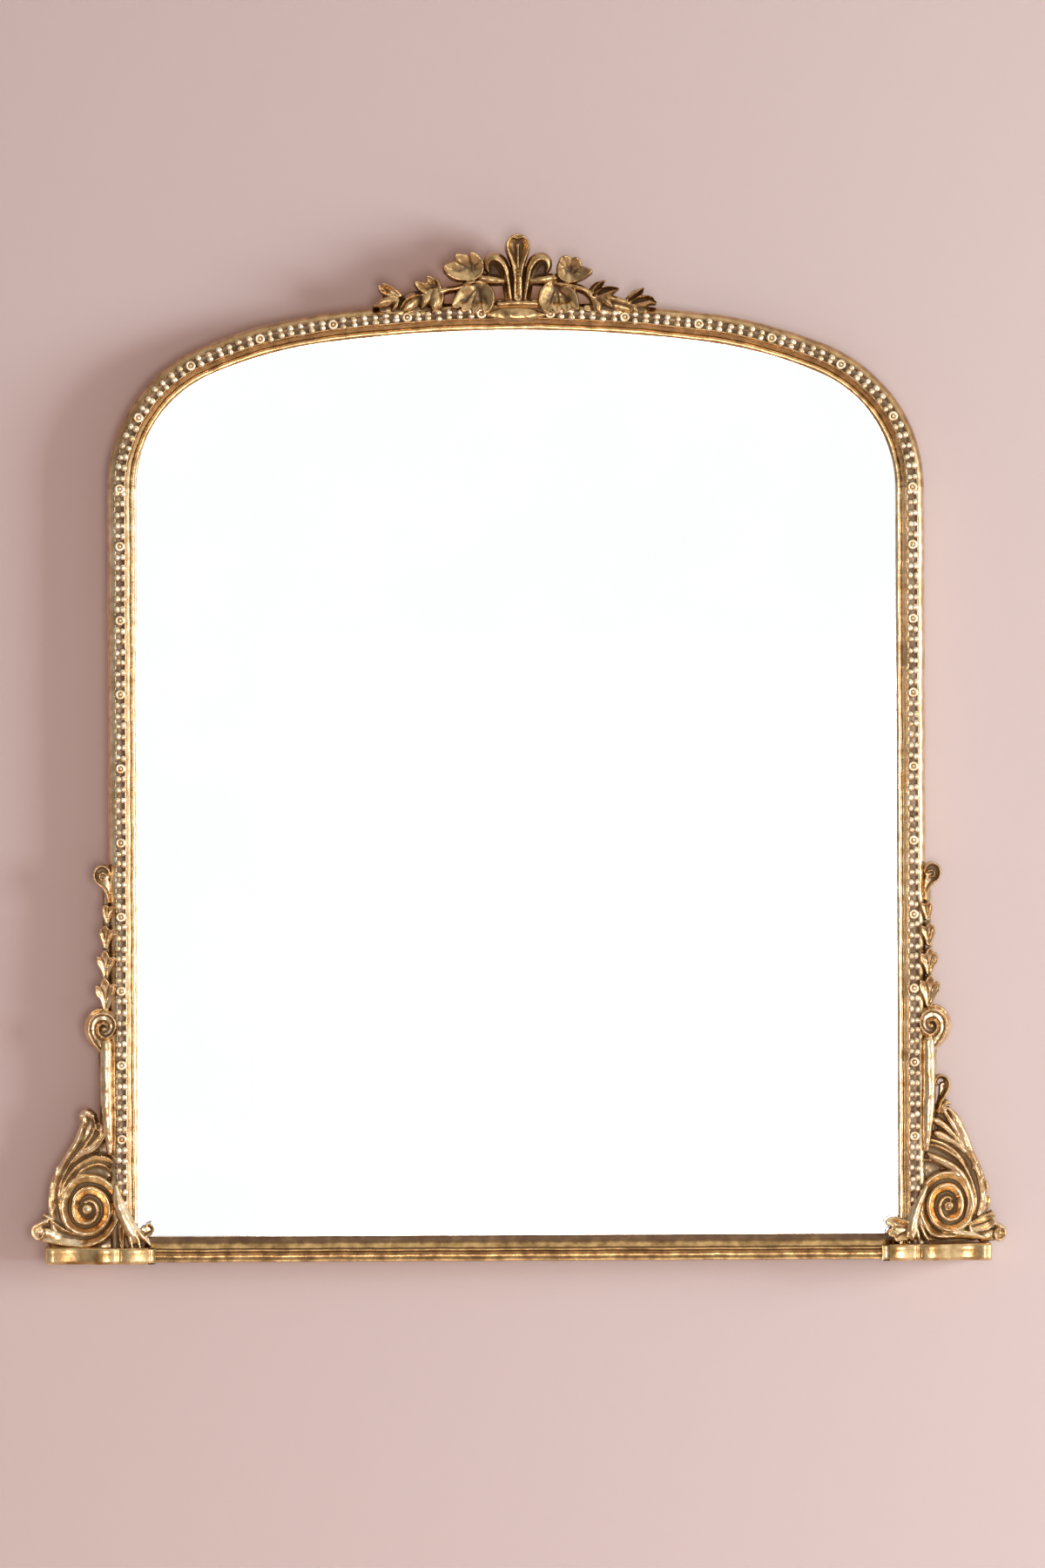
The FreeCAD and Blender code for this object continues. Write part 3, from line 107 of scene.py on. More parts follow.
CORNER_SCROLL = (
    Stroke(((46.7, 24.8, 9.3, 9.3, 2.5), (21.1, 23.2, 8.5, 8.5, 2.5), (-3.7, 23.2, 7, 7, 2.5)), F, F, 0),
    Stroke(((36.6, 44.9, 13.9, 13.9, 2.5), (31.9, 66.7, 14.7, 14.7, 2.5), (16.4, 85.2, 10.8, 10.8, 2.5),
            (2.5, 86.8, 9.3, 9.3, 2.5)), F, F, 0),
    Stroke(((21.1, 51.2, 26.4, 26.4, 2.5),), F, F, 0),
    Stroke(((31.9, 94.5, 6.2, 6.2, 3), (23.4, 110, 6.8, 6.8, 3), (17.2, 124, 6.8, 6.8, 3.5),
            (16.4, 131, 5.3, 5.3, 4)), F, F, 0),
    Stroke(((4.8, 106.2, 5.6, 5.6, 2.5), (2.5, 97.7, 5.6, 5.6, 2.5)), F, F, 0),
    Stroke(((48.2, 31, 4.7, 4, 4), (51, 46.5, 5.6, 3.1, 5.5), (51.3, 58.9, 6.2, 3.1, 6.5), (49.3, 72.8, 6.5, 3.4, 7),
            (44, 85.2, 6.5, 3.4, 7.5), (35.8, 98.4, 6.2, 3.7, 8), (28.5, 110, 5.6, 3.7, 8.5),
            (23.9, 121.7, 5, 3.4, 9), (22.3, 130.2, 4.7, 3.1, 9.5)), H, R, 2),
    Stroke(((42.5, 85.2, 1.9, 1.2, 6.5), (38.9, 93.8, 2.2, 1.9, 8.8), (36.6, 99.5, 1.2, 1.2, 9.2)), H, R, 2),
    Stroke(((48.7, 71.3, 1.9, 1.2, 6), (47.1, 80.6, 2.2, 1.9, 8.4), (45.9, 88.3, 1.2, 1.2, 8.8)), H, R, 2),
    Stroke(((51.6, 57.3, 1.9, 1.2, 5.5), (51.6, 67.4, 2.2, 1.9, 7.8), (50.9, 74.7, 1.2, 1.2, 8.2)), H, R, 2),
    Stroke(((51.6, 44.9, 1.9, 1.2, 5), (52.7, 53.5, 2.2, 1.9, 7), (53, 61.7, 1.2, 1.2, 7.6)), H, R, 2),
    Stroke(((22.3, 128.7, 4.7, 3.4, 9), (23.4, 133.3, 4.7, 4, 10), (19.9, 136.7, 4, 4, 10.5),
            (14.9, 133.3, 3.7, 3.7, 9.5)), R, R, 2),
    Stroke(((24.8, 133.6, 2.2, 2.2, 11),), R, R, 4),
    Stroke(((16.1, 134.5, 2, 2, 11),), R, R, 4),
    Stroke(((42.5, 44.9, 3.7, 2.5, 4.5), (45, 58.9, 3.7, 2.5, 6), (43.4, 72.8, 4, 2.8, 7), (37.8, 86, 4, 3.1, 8),
            (29.6, 97.7, 4, 3.1, 8.6), (20.3, 108.5, 3.7, 3.1, 9), (14, 118.6, 3.4, 3.1, 9.2),
            (12.6, 127.9, 3.1, 2.8, 9), (14.9, 133.3, 2.5, 2.5, 8.5)), H, H, 2.5),
    Stroke(((35, 91.5, 3.1, 2.8, 6), (25, 101.1, 4.7, 3.1, 7.5), (14.9, 108.5, 5.3, 3.7, 8.2),
            (8.4, 116.2, 4.7, 4.3, 8.4), (8.4, 122.1, 4, 4, 9)), R, H, 2.5),
    Stroke(((8.7, 123.7, 4, 4, 9.6),), D, D, 2.5),
    Stroke(((21.1, 100.8, 2.8, 1.9, 7.5), (11.5, 106.6, 3.1, 2.5, 8.8), (5.6, 113.5, 2.5, 2.5, 9.4),
            (4.4, 117.5, 1.9, 1.9, 9.6)), R, H, 2.5),
    Stroke(((31.9, 31.8, 3.1, 2.8, 5), (40.9, 43.4, 4.7, 3.1, 6.5), (43.4, 57.3, 5.3, 3.1, 7.5),
            (40.3, 72.8, 5.9, 3.1, 8), (31.9, 86, 6.2, 3.1, 8.5), (21.1, 94.2, 6.8, 3.1, 9), (10.2, 98, 7.1, 3.1, 9),
            (0.2, 95.8, 5.3, 2.8, 8.5), (-5.9, 87.6, 2.5, 1.6, 7)), H, H, 2.5),
    Stroke(((36.6, 60.5, 2.5, 1.6, 6.5), (33.8, 71.3, 3.4, 2.2, 7.2), (25.4, 84.6, 4, 2.5, 8),
            (13.3, 90.5, 4, 2.5, 8.2), (3.7, 89.3, 3.1, 2.2, 7.8), (-1.4, 84.3, 1.6, 1.2, 6.5)), H, H, 2.5),
    Stroke(((-1.8, 98.9, 1.2, 1.2, 7.5), (-5.6, 95.5, 1.9, 1.9, 9), (-7.4, 90.5, 1.2, 1.2, 8)), R, R, 2.5),
    Stroke(((59.8, 24.5, 2.5, 4.7, 4.5), (47.4, 21.4, 2.5, 5.6, 5.5), (33.5, 19.2, 2.5, 6.2, 6.5),
            (20.3, 19.1, 2.8, 6.8, 7.5), (5.6, 24.8, 3.1, 7.1, 8.5), (-4.6, 36.9, 3.1, 7.1, 9),
            (-8.4, 51.2, 2.8, 7.1, 9.5), (-5.2, 65.9, 2.8, 7.4, 9.5), (5.6, 76.7, 3.1, 7.8, 9.5),
            (20.3, 79.8, 3.1, 8.1, 9.5), (31.9, 75.2, 3.1, 8.1, 9.5), (38.9, 64.3, 3.1, 8.1, 9.5),
            (41.6, 51.2, 3.1, 7.8, 9.5), (38.1, 38.8, 3.1, 7.1, 9.5), (30.4, 31.8, 3.1, 7.1, 9.5),
            (20.3, 29.4, 3.1, 6.8, 9.5), (10.2, 32.6, 3.1, 6.8, 9.8), (2.5, 41.1, 3.1, 6.8, 10),
            (0.2, 51.2, 3.1, 7.1, 10), (3.3, 61.2, 3.1, 7.4, 10), (11, 67.4, 3.1, 7.4, 10),
            (20.3, 68.8, 3.1, 7.4, 10), (27.3, 64.3, 3.1, 6.8, 10), (30.7, 56.6, 3.1, 6.2, 10),
            (30.7, 48.8, 3.1, 5.9, 10), (27.6, 41.8, 3.1, 5.6, 10.2), (20.3, 39.1, 2.8, 5.3, 10.4),
            (14.1, 41.8, 2.8, 5, 10.5), (10.9, 48.4, 2.8, 4.7, 10.5), (12.1, 54.9, 2.5, 4.3, 10.5),
            (16.8, 58.1, 2.5, 3.7, 10.5), (21.1, 56.7, 2.5, 2.5, 10.5)), R, H, 3),
    Stroke(((19.2, 50.8, 5.3, 5.3, 10.5),), R, R, 4),
    Stroke(((21.9, 28.2, 2.8, 3.1, 8), (35, 30.7, 3.1, 3.4, 7.5), (45.9, 36.9, 3.1, 3.7, 7),
            (54.4, 43.7, 2.8, 3.1, 6.5), (57.5, 45.3, 2.2, 1.9, 6)), H, H, 2.5),
    Stroke(((63.3, 31, 7.1, 7.1, 9),), R, R, 0),
    Stroke(((56, 40.3, 2.2, 2.5, 7.5), (61.4, 38, 2, 2.3, 9), (66.7, 35.3, 2, 2.2, 9.8), (67.9, 30.1, 2, 2.2, 10),
            (64.8, 25.7, 2, 2.2, 9.8), (60.5, 26, 1.9, 1.9, 9.4), (58.9, 30.2, 1.9, 1.6, 9)), R, H, 6.5),
    Stroke(((62.9, 31.3, 2.6, 2.6, 10.4),), R, R, 6.5),
    Stroke(((56.7, 29.4, 6.2, 6.2, 5), (45.9, 25.6, 6.2, 6.2, 4)), R, R, 0),
)

CORNER_LEAF = (
    Stroke(((-13.8, 38.8, 7, 7, 2.5), (-17.7, 26.3, 9.3, 9.3, 2.5), (-24.1, 23.2, 8.5, 8.5, 2.5)), F, F, 0),
    Stroke(((-6, 71, 2.6, 2.6, 6), (-7.8, 59.4, 4.7, 4.9, 8), (-10.7, 49.1, 5.4, 6.2, 9), (-15.3, 38.8, 5.9, 7, 9.5),
            (-19.7, 30.2, 6.2, 7, 9.5), (-21.8, 24.5, 4.9, 5.2, 9)), R, R, 2),
    Stroke(((-10.7, 37.5, 2.1, 2.1, 7), (-10.4, 28.4, 2.8, 3.1, 8.5), (-11.2, 18.3, 2.1, 2.1, 8.5)), R, D, 2),
    Stroke(((-17, 32.3, 2.3, 2.3, 8.5), (-18.9, 24.5, 2.8, 2.8, 9.4), (-20.5, 17.1, 1.7, 1.7, 8.5)), R, R, 2),
    Stroke(((-20.5, 33.1, 2.3, 2.3, 8.5), (-25.1, 25.3, 2.8, 2.8, 9.4), (-27.5, 17.1, 1.7, 1.7, 8.5)), R, R, 2),
    Stroke(((-22.2, 34.9, 2.3, 2.3, 8), (-29.5, 27.4, 2.8, 3.1, 9), (-36.2, 19.9, 1.8, 1.8, 8)), R, R, 2),
    Stroke(((-30.6, 32.3, 3.4, 3.4, 4), (-34.4, 33.6, 2.8, 2.8, 4)), F, F, 0),
    Stroke(((-26.2, 29.7, 1.8, 2.1, 6), (-31.9, 27.6, 1.8, 2.3, 7), (-37, 30.2, 1.6, 2.3, 8.2),
            (-39.1, 34.6, 1.3, 2.1, 8.8), (-36.5, 37.7, 1.3, 1.7, 8.8), (-32.6, 37.2, 1, 1.3, 8)), R, H, 2),
)

CORNER_SCROLL_RIGHT = (
    Stroke(((41, 24.6, 5.8, 5.8, 2.5), (23.1, 24, 5.8, 5.8, 2.5), (2.8, 24.6, 5.8, 5.8, 2.5)), F, F, 0),
    Stroke(((19.5, 50.5, 27.1, 27.1, 2.5),), F, F, 0),
    Stroke(((41, 49.8, 9, 9, 2.5), (39.8, 66.6, 10.3, 10.3, 2.5), (32.6, 83.4, 10.3, 10.3, 2.5),
            (20.7, 93.7, 9, 9, 2.5), (4, 93.7, 7.8, 7.8, 2.5)), F, F, 0),
    Stroke(((35, 98.9, 6.5, 6.5, 3), (26.7, 111.8, 8, 8, 3), (17.1, 122.2, 8, 8, 3), (14, 128.6, 5.9, 5.9, 3)),
           F, F, 0),
    Stroke(((10, 111.8, 6.5, 6.5, 2.5), (4, 109.2, 8, 8, 2.5), (-2.1, 104.1, 8, 8, 2.5)), F, F, 0),
    Stroke(((4, 84.7, 8.3, 8.3, 2.5), (-0.8, 74.4, 5.2, 5.2, 2.5)), F, F, 0),
    Stroke(((41, 93.7, 4.4, 2.6, 6.5), (36.8, 104.1, 5.7, 3.4, 8), (32.6, 114.4, 6.2, 3.6, 9),
            (27.9, 124.7, 5.4, 3.6, 10), (24.1, 131.7, 3.6, 2.8, 10.5), (20.7, 135.3, 2.3, 1.8, 10.5)), R, R, 3),
    Stroke(((23.3, 130.9, 2.6, 2.1, 10), (21.9, 134.8, 2.1, 1.8, 10.6), (18.9, 136.9, 1.8, 1.8, 10.8),
            (15.9, 135.3, 1.6, 1.6, 10.4), (16.4, 132.5, 1.2, 1.2, 9.5)), R, R, 3),
    Stroke(((13.6, 133.8, 2.1, 2.1, 8.5), (15.3, 138.9, 2.6, 2.6, 9.5), (18.3, 142.3, 2.3, 2.3, 10),
            (20.7, 141.5, 1.6, 1.6, 9.5)), R, R, 2.5),
    Stroke(((32.2, 104.1, 1.6, 1.6, 7), (26.7, 115.7, 2.3, 2.3, 8.6), (21.2, 125.5, 2.8, 2.8, 10),
            (16.7, 132.7, 2.8, 2.8, 11), (14.5, 136.1, 1.9, 1.9, 10.8)), R, R, 2.5),
    Stroke(((32.9, 101.5, 1.6, 1.6, 7), (24.5, 112.3, 2.6, 2.6, 8.8), (15.9, 121.1, 3.6, 3.6, 10.4),
            (9.7, 125.2, 4.3, 4.3, 11.4), (7.1, 126.5, 3.4, 3.4, 11.2)), R, R, 2.5),
    Stroke(((34.1, 98.1, 1.6, 1.6, 7), (25.5, 105.6, 2.6, 2.6, 8.6), (17.1, 111, 3.5, 3.5, 10.2),
            (10.7, 114.1, 4.1, 4.1, 11.2), (8.3, 115.2, 3.2, 3.2, 11)), R, R, 2.5),
    Stroke(((37.4, 98.9, 4.1, 2.1, 7), (42.4, 87.3, 4.7, 2.3, 7), (47, 74.4, 4.9, 2.3, 6.5),
            (49.1, 62.7, 4.9, 2.3, 6), (49.1, 52.4, 4.9, 2.3, 5.5), (45.8, 42.1, 4.1, 2.1, 5)), R, R, 3),
    Stroke(((-2.1, 110.3, 1.8, 1.8, 6), (6.4, 109, 3.1, 2.8, 7.2), (15.9, 105.4, 3.4, 3.1, 7.8),
            (24.8, 99.4, 3.4, 3.1, 7.8), (32.2, 90.1, 3.1, 2.8, 7.4), (37.9, 77.7, 2.6, 2.3, 6.8),
            (42, 65.3, 2.1, 1.8, 6.2)), H, R, 2.5),
    Stroke(((41, 83.4, 2.6, 1.8, 6), (42.2, 89.9, 3.1, 2.3, 8.4), (40, 96.1, 2.1, 1.8, 9.4),
            (38.1, 99.2, 0.9, 0.9, 9.2)), H, R, 2),
    Stroke(((46, 71.5, 2.6, 1.8, 5.5), (48.2, 78, 3.1, 2.3, 8.2), (46.5, 83.9, 1.8, 1.8, 9),
            (44.6, 87.3, 0.9, 0.9, 8.8)), H, R, 2),
    Stroke(((50.3, 57.6, 2.6, 1.8, 5), (53.2, 65.1, 3.1, 2.3, 7.8), (52.2, 71, 1.8, 1.8, 8.6),
            (50.1, 73.6, 0.9, 0.9, 8.4)), H, R, 2),
    Stroke(((50.8, 44.7, 2.6, 1.8, 5), (54.6, 52.1, 3.1, 2.3, 7.4), (55.1, 56.8, 1.6, 1.6, 8),
            (53.7, 59.6, 0.9, 0.9, 7.8)), H, R, 2),
    Stroke(((41.6, 43.4, 2.8, 1.6, 6), (43.2, 56.3, 3.6, 1.8, 7), (40.4, 69.2, 3.9, 1.8, 8),
            (35, 82.1, 3.9, 1.8, 8.5), (27.9, 91.8, 3.9, 1.8, 9), (18.3, 98.9, 3.6, 1.8, 9.2),
            (7.6, 103.8, 3.1, 1.6, 9), (-3.4, 105.1, 1.6, 1, 8)), H, R, 2.5),
    Stroke(((33.8, 37.5, 2.1, 1.6, 6), (38.6, 51.1, 3.6, 2.3, 8), (37.9, 64, 4.4, 2.6, 9),
            (32.6, 76.3, 5.2, 2.8, 9.8), (23.7, 85.7, 5.7, 2.8, 10.2), (13.6, 91.1, 5.7, 2.8, 10.2),
            (5.2, 94.5, 4.7, 2.6, 9.8), (0.9, 97.1, 1.6, 1.3, 9)), R, R, 2.5),
    Stroke(((4, 90.1, 2.1, 1.3, 7), (-2.1, 90.9, 2.3, 1.8, 8.5), (-6.3, 87, 1.6, 1.6, 8), (-5.5, 83.9, 1, 1, 7)),
           H, R, 2.5),
    Stroke(((51.1, 21.9, 1.8, 2.1, 5), (41, 22.9, 2.8, 3.4, 7), (29.1, 24, 3.1, 3.9, 8.5),
            (6.9, 24.4, 3.1, 7.1, 8.5), (-2.8, 36.5, 3.1, 7.1, 9), (-6.5, 50.7, 2.8, 7.1, 9.5),
            (-3.4, 65.4, 2.8, 7.4, 9.5), (6.9, 76.3, 3.1, 7.8, 9.5), (20.5, 79.4, 3.1, 8.1, 9.5),
            (31.2, 74.7, 3.1, 8.1, 9.5), (37.7, 63.9, 3.1, 8.1, 9.5), (40.1, 50.7, 3.1, 7.8, 9.5),
            (36.9, 38.3, 3.1, 7.1, 9.5), (29.8, 31.3, 3.1, 7.1, 9.5), (20.5, 29, 3.1, 6.8, 9.5),
            (11.2, 32.1, 3.1, 6.8, 9.8), (4, 40.6, 3.1, 6.8, 10), (1.9, 50.7, 3.1, 7.1, 10),
            (4.7, 60.8, 3.1, 7.4, 10), (11.9, 67, 3.1, 7.4, 10), (20.5, 68.4, 3.1, 7.4, 10),
            (26.9, 63.9, 3.1, 6.8, 10), (30.1, 56.1, 3.1, 6.2, 10), (30.1, 48.4, 3.1, 5.9, 10),
            (27.2, 41.4, 3.1, 5.6, 10.2), (20.5, 38.6, 2.8, 5.3, 10.4), (14.7, 41.4, 2.8, 5, 10.5),
            (11.7, 47.9, 2.8, 4.7, 10.5), (12.9, 54.4, 2.5, 4.3, 10.5), (17.2, 57.7, 2.5, 3.7, 10.5),
            (21.2, 56.3, 2.5, 2.5, 10.5)), R, H, 3),
    Stroke(((19.5, 50.5, 5.3, 5.3, 10.5),), R, R, 4),
    Stroke(((50.6, 21.9, 2.3, 2.1, 5.5), (39.8, 24.5, 3.9, 3.9, 8), (26.7, 25.8, 3.9, 4.1, 9),
            (14.7, 28.4, 2.8, 3.1, 8.5)), R, R, 2.5),
    Leaf((
        ((39.8, 33.3, 3.1, 6.5), (48.9, 37.4, 4.4, 8.5), (55.8, 40.8, 3.6, 9.4), (58.9, 42.1, 2.3, 9.6)),
        ((39.8, 30.4, 3.1, 6.5), (50.3, 32, 4.4, 8.5), (56.5, 34.8, 3.6, 9.4), (59.4, 36.4, 2.3, 9.6)),
    ), 0.9, 0.6, 2.6, 2.5, 0.5, 2.0),
    Stroke(((51.7, 40.5, 2.3, 1.8, 6), (55.9, 43.6, 1.8, 1.8, 7.5), (57.5, 45.7, 0.9, 0.9, 7.5)), H, R, 2),
    Stroke(((64.4, 25.9, 6.7, 6.7, 8.5),), R, R, 0),
    Stroke(((57.7, 35.2, 2.2, 2.5, 7.5), (62.7, 32.9, 2, 2.3, 9), (67.6, 30.3, 2, 2.2, 9.8), (68.7, 25, 2, 2.2, 10),
            (65.9, 20.7, 2, 2.2, 9.8), (61.9, 21, 1.9, 1.9, 9.4), (60.4, 25.1, 1.9, 1.6, 9)), R, H, 6),
    Stroke(((64.2, 26.2, 2.6, 2.6, 10.2),), R, R, 6.5),
    Stroke(((57.7, 24.6, 5.9, 5.9, 5), (49.4, 22.7, 5.2, 5.2, 4)), R, R, 0),
)

SCROLL_CROOK = (
    Stroke(((14.7, 157, 3.4, 3.4, 3), (13.6, 149.3, 2.8, 2.8, 3), (11.8, 138.9, 2.8, 2.8, 3)), F, F, 0),
    Stroke(((10.2, 133.8, 2.6, 2.1, 7), (12.4, 142.6, 3.1, 2.3, 8.5), (16.4, 149, 3.6, 2.6, 9.5),
            (19, 154.7, 3.6, 2.3, 10), (19.5, 159.9, 3.4, 2.1, 10.4), (16.7, 164.5, 3.1, 1.8, 10.4),
            (12.4, 165.8, 2.8, 1.8, 10.4), (8.8, 163.2, 2.1, 1.8, 10.4), (8.3, 159.3, 1.7, 1.7, 10.4),
            (9.7, 157.5, 1.2, 1.2, 9.5)), H, R, 3),
)

CORNER_LEAF_RIGHT = (
    Stroke(((-12.5, 39.5, 5.2, 5.2, 3), (-15, 29.1, 8.3, 8.3, 3), (-22.8, 27.9, 6.5, 6.5, 3),
            (-28, 29.1, 5.4, 5.4, 3)), F, F, 0),
    Stroke(((-0.8, 68.4, 1.8, 1.8, 6), (-5, 60.1, 3.4, 3.4, 8), (-9.2, 49.8, 4.4, 4.4, 9),
            (-12.5, 39.5, 5.4, 5.4, 9.6), (-14, 30.4, 5.7, 5.9, 9.8), (-14.5, 24, 4.7, 4.9, 9.2)), R, R, 2),
    Stroke(((-6, 33, 1.8, 1.8, 6.5), (-2.6, 25, 1.8, 1.8, 7.2), (0.7, 20.1, 1.2, 1.2, 6.5)), R, R, 2),
    Stroke(((-10.1, 30.4, 2.3, 2.3, 8.6), (-8.6, 24.2, 2.3, 2.3, 9.4), (-8.1, 19.8, 1.4, 1.4, 8.5)), R, R, 2),
    Stroke(((-14, 29.1, 2.1, 2.1, 9), (-13.5, 23.5, 2.1, 2.1, 9.8), (-13.2, 19.6, 1.4, 1.4, 8.5)), R, R, 2),
    Stroke(((-17.1, 29.7, 2.1, 2.1, 8.6), (-18.7, 24, 2.2, 2.2, 9.4), (-19.2, 19.8, 1.4, 1.4, 8.5)), R, R, 2),
    Leaf((
        ((-15.8, 32.8, 3.6, 8), (-23.6, 35.3, 4.9, 9), (-30.8, 37.2, 4.7, 10), (-34.9, 36.6, 3.4, 10.6)),
        ((-15.8, 30.4, 3.6, 8), (-25.1, 28.9, 4.9, 9), (-32.4, 27.6, 4.4, 10.2)),
        ((-16.3, 27.9, 3.6, 8), (-22.8, 23.7, 4.1, 9), (-27.7, 21.9, 3.1, 9.6)),
    ), 0.9, 0.65, 3.1, 3, 0.5, 2.0),
)

WING_STRIP = (
    Stroke(((1.5, 60, 8, 8, 1), (1.5, 110, 8, 8, 1), (2, 150, 8, 8, 1), (2, 200, 9, 9, 1), (1, 232, 7, 7, 1),
            (0.5, 300, 6.5, 6.5, 1), (0.5, 345, 6, 6, 1)), F, F, 0),
)

PILASTER_STRIP = (
    Stroke(((-0.6, 101, 2.6, 2.6, 7.5), (0.2, 115, 4.2, 4.2, 9), (1.6, 135, 5.6, 5.4, 10), (2.4, 160, 5.6, 5.6, 10),
            (2.2, 180, 5.6, 5.6, 10), (2, 197, 5.2, 5.2, 9.5)), R, R, 4),
)

SMALL_VOLUTE = (
    Stroke(((5.3, 212.1, 14.2, 14.2, 3.5),), F, F, 0),
    Stroke(((7.5, 201.5, 6.5, 6.5, 3.5), (5, 193.8, 4.4, 4.4, 3.5)), F, F, 0),
    Stroke(((6.6, 190.1, 1.3, 1.6, 6), (10.8, 194.8, 1.6, 2.8, 7.5), (15.3, 200.9, 1.8, 3.6, 8.5),
            (18, 209.2, 1.8, 4.1, 9), (16.2, 218.3, 1.8, 4.4, 9), (10, 223.7, 1.8, 4.1, 9),
            (2.4, 224.5, 1.8, 3.6, 9), (-4.2, 220.1, 1.6, 3.4, 9), (-6.3, 212.9, 1.6, 3.4, 9),
            (-2.9, 205.4, 1.6, 3.4, 9.2), (3.3, 202.5, 1.6, 3.4, 9.4), (8.4, 206, 1.8, 3.1, 9.6),
            (9.2, 211.8, 1.8, 2.8, 9.8), (5.9, 215.5, 1.6, 2.6, 10), (1.7, 214.2, 1.6, 2.1, 10),
            (1.2, 210.5, 1.6, 1.3, 10)), R, H, 3.5),
    Stroke(((4, 210.3, 2.8, 2.8, 9.5),), R, R, 4),
    Stroke(((18.3, 218.3, 1.3, 1.3, 4), (15.4, 223.7, 1.8, 1.8, 6.5), (9.5, 227.6, 1.6, 1.6, 6),
            (4.3, 227.6, 1, 1, 4)), H, R, 1),
)

HUSK_DROP = (
    Leaf((
        ((1.1, 305.9, 2.1, 5), (2.5, 311, 2.9, 7), (2.8, 316.3, 3.1, 8.5), (3.3, 318.8, 1.4, 10)),
        ((1.1, 305.9, 2.1, 5), (-0.4, 311, 2.9, 7), (-2.3, 315.9, 3.1, 8.5), (-4.5, 318.4, 1.4, 10)),
        ((1.1, 305.9, 2.1, 6), (1.3, 311.9, 2.8, 9.5), (1.4, 317, 2.9, 11), (1.6, 319.3, 1.6, 12)),
    ), 0.8, 0.45, 2.3, 2, 0.3, 1.4),
    Leaf((
        ((2.1, 283.9, 2.5, 5), (3.8, 290.4, 3.4, 7), (4.9, 294.7, 3.7, 8.5), (6.2, 297.9, 1.7, 10)),
        ((2.1, 283.9, 2.5, 5), (0.4, 290.4, 3.4, 7), (-1.7, 294.7, 3.7, 8.5), (-4, 297.9, 1.7, 10)),
        ((2.1, 283.9, 2.5, 6), (2.4, 291.5, 3.3, 9.5), (2.5, 298, 3.4, 11), (2.7, 300.9, 1.8, 12)),
    ), 0.8, 0.45, 2.3, 2, 0.3, 1.4),
    Leaf((
        ((2.4, 257.8, 2.8, 5), (4.4, 265.6, 4, 7), (6.4, 269.4, 4.3, 8.5), (8.8, 273.4, 2, 10)),
        ((2.4, 257.8, 2.8, 5), (0.4, 265.6, 4, 7), (-2, 269.4, 4.3, 8.5), (-4.6, 273.4, 2, 10)),
        ((2.4, 257.8, 2.8, 6), (2.7, 267, 3.8, 9.5), (2.8, 274.8, 4, 11), (3.1, 278.5, 2.1, 12)),
    ), 0.8, 0.45, 2.3, 2, 0.3, 1.4),
    Leaf((
        ((2.4, 229.9, 3.2, 5), (4.6, 238.9, 4.5, 7), (7.2, 242.7, 4.8, 8.5), (10.1, 247.4, 2.3, 10)),
        ((2.4, 229.9, 3.2, 5), (0.1, 238.9, 4.5, 7), (-2.2, 244.5, 4.8, 8.5), (-4.7, 249.2, 2.3, 10)),
        ((2.4, 229.9, 3.2, 6), (2.7, 240.5, 4.4, 9.5), (2.9, 249.4, 4.5, 11), (3.2, 253.7, 2.4, 12)),
    ), 0.8, 0.45, 2.3, 2, 0.3, 1.4),
)

HOOK_SCROLL = (
    Stroke(((-1.1, 346.7, 1.3, 1.3, 6), (0.4, 351.6, 1.8, 2.1, 8), (5, 354.2, 2.1, 2.3, 9),
            (10, 351.9, 2.1, 2.6, 9.5), (12.1, 346.4, 1.8, 2.6, 9.5), (10.5, 341, 1.8, 2.6, 9.5),
            (6.4, 337.4, 1.8, 2.6, 9), (2.5, 333.2, 1.8, 2.3, 8.5), (0.2, 327.4, 1.8, 2.1, 7.5),
            (-0.3, 321.9, 1.3, 1.3, 6)), R, H, 3),
    Stroke(((5.6, 346.2, 7.5, 7.5, 3.5),), F, F, 0),
    Stroke(((2.2, 346.7, 1.6, 1.3, 7.5), (4.8, 348.2, 1.6, 1.6, 8), (7.1, 346.2, 1.6, 1.6, 8),
            (6.6, 343.3, 1.6, 1.6, 7.5), (4, 342.8, 1.6, 1.6, 7)), R, H, 3),
    Stroke(((1.7, 339.7, 3.4, 3.4, 3.5), (0.2, 330.7, 2.3, 2.3, 3.5)), F, F, 0),
)

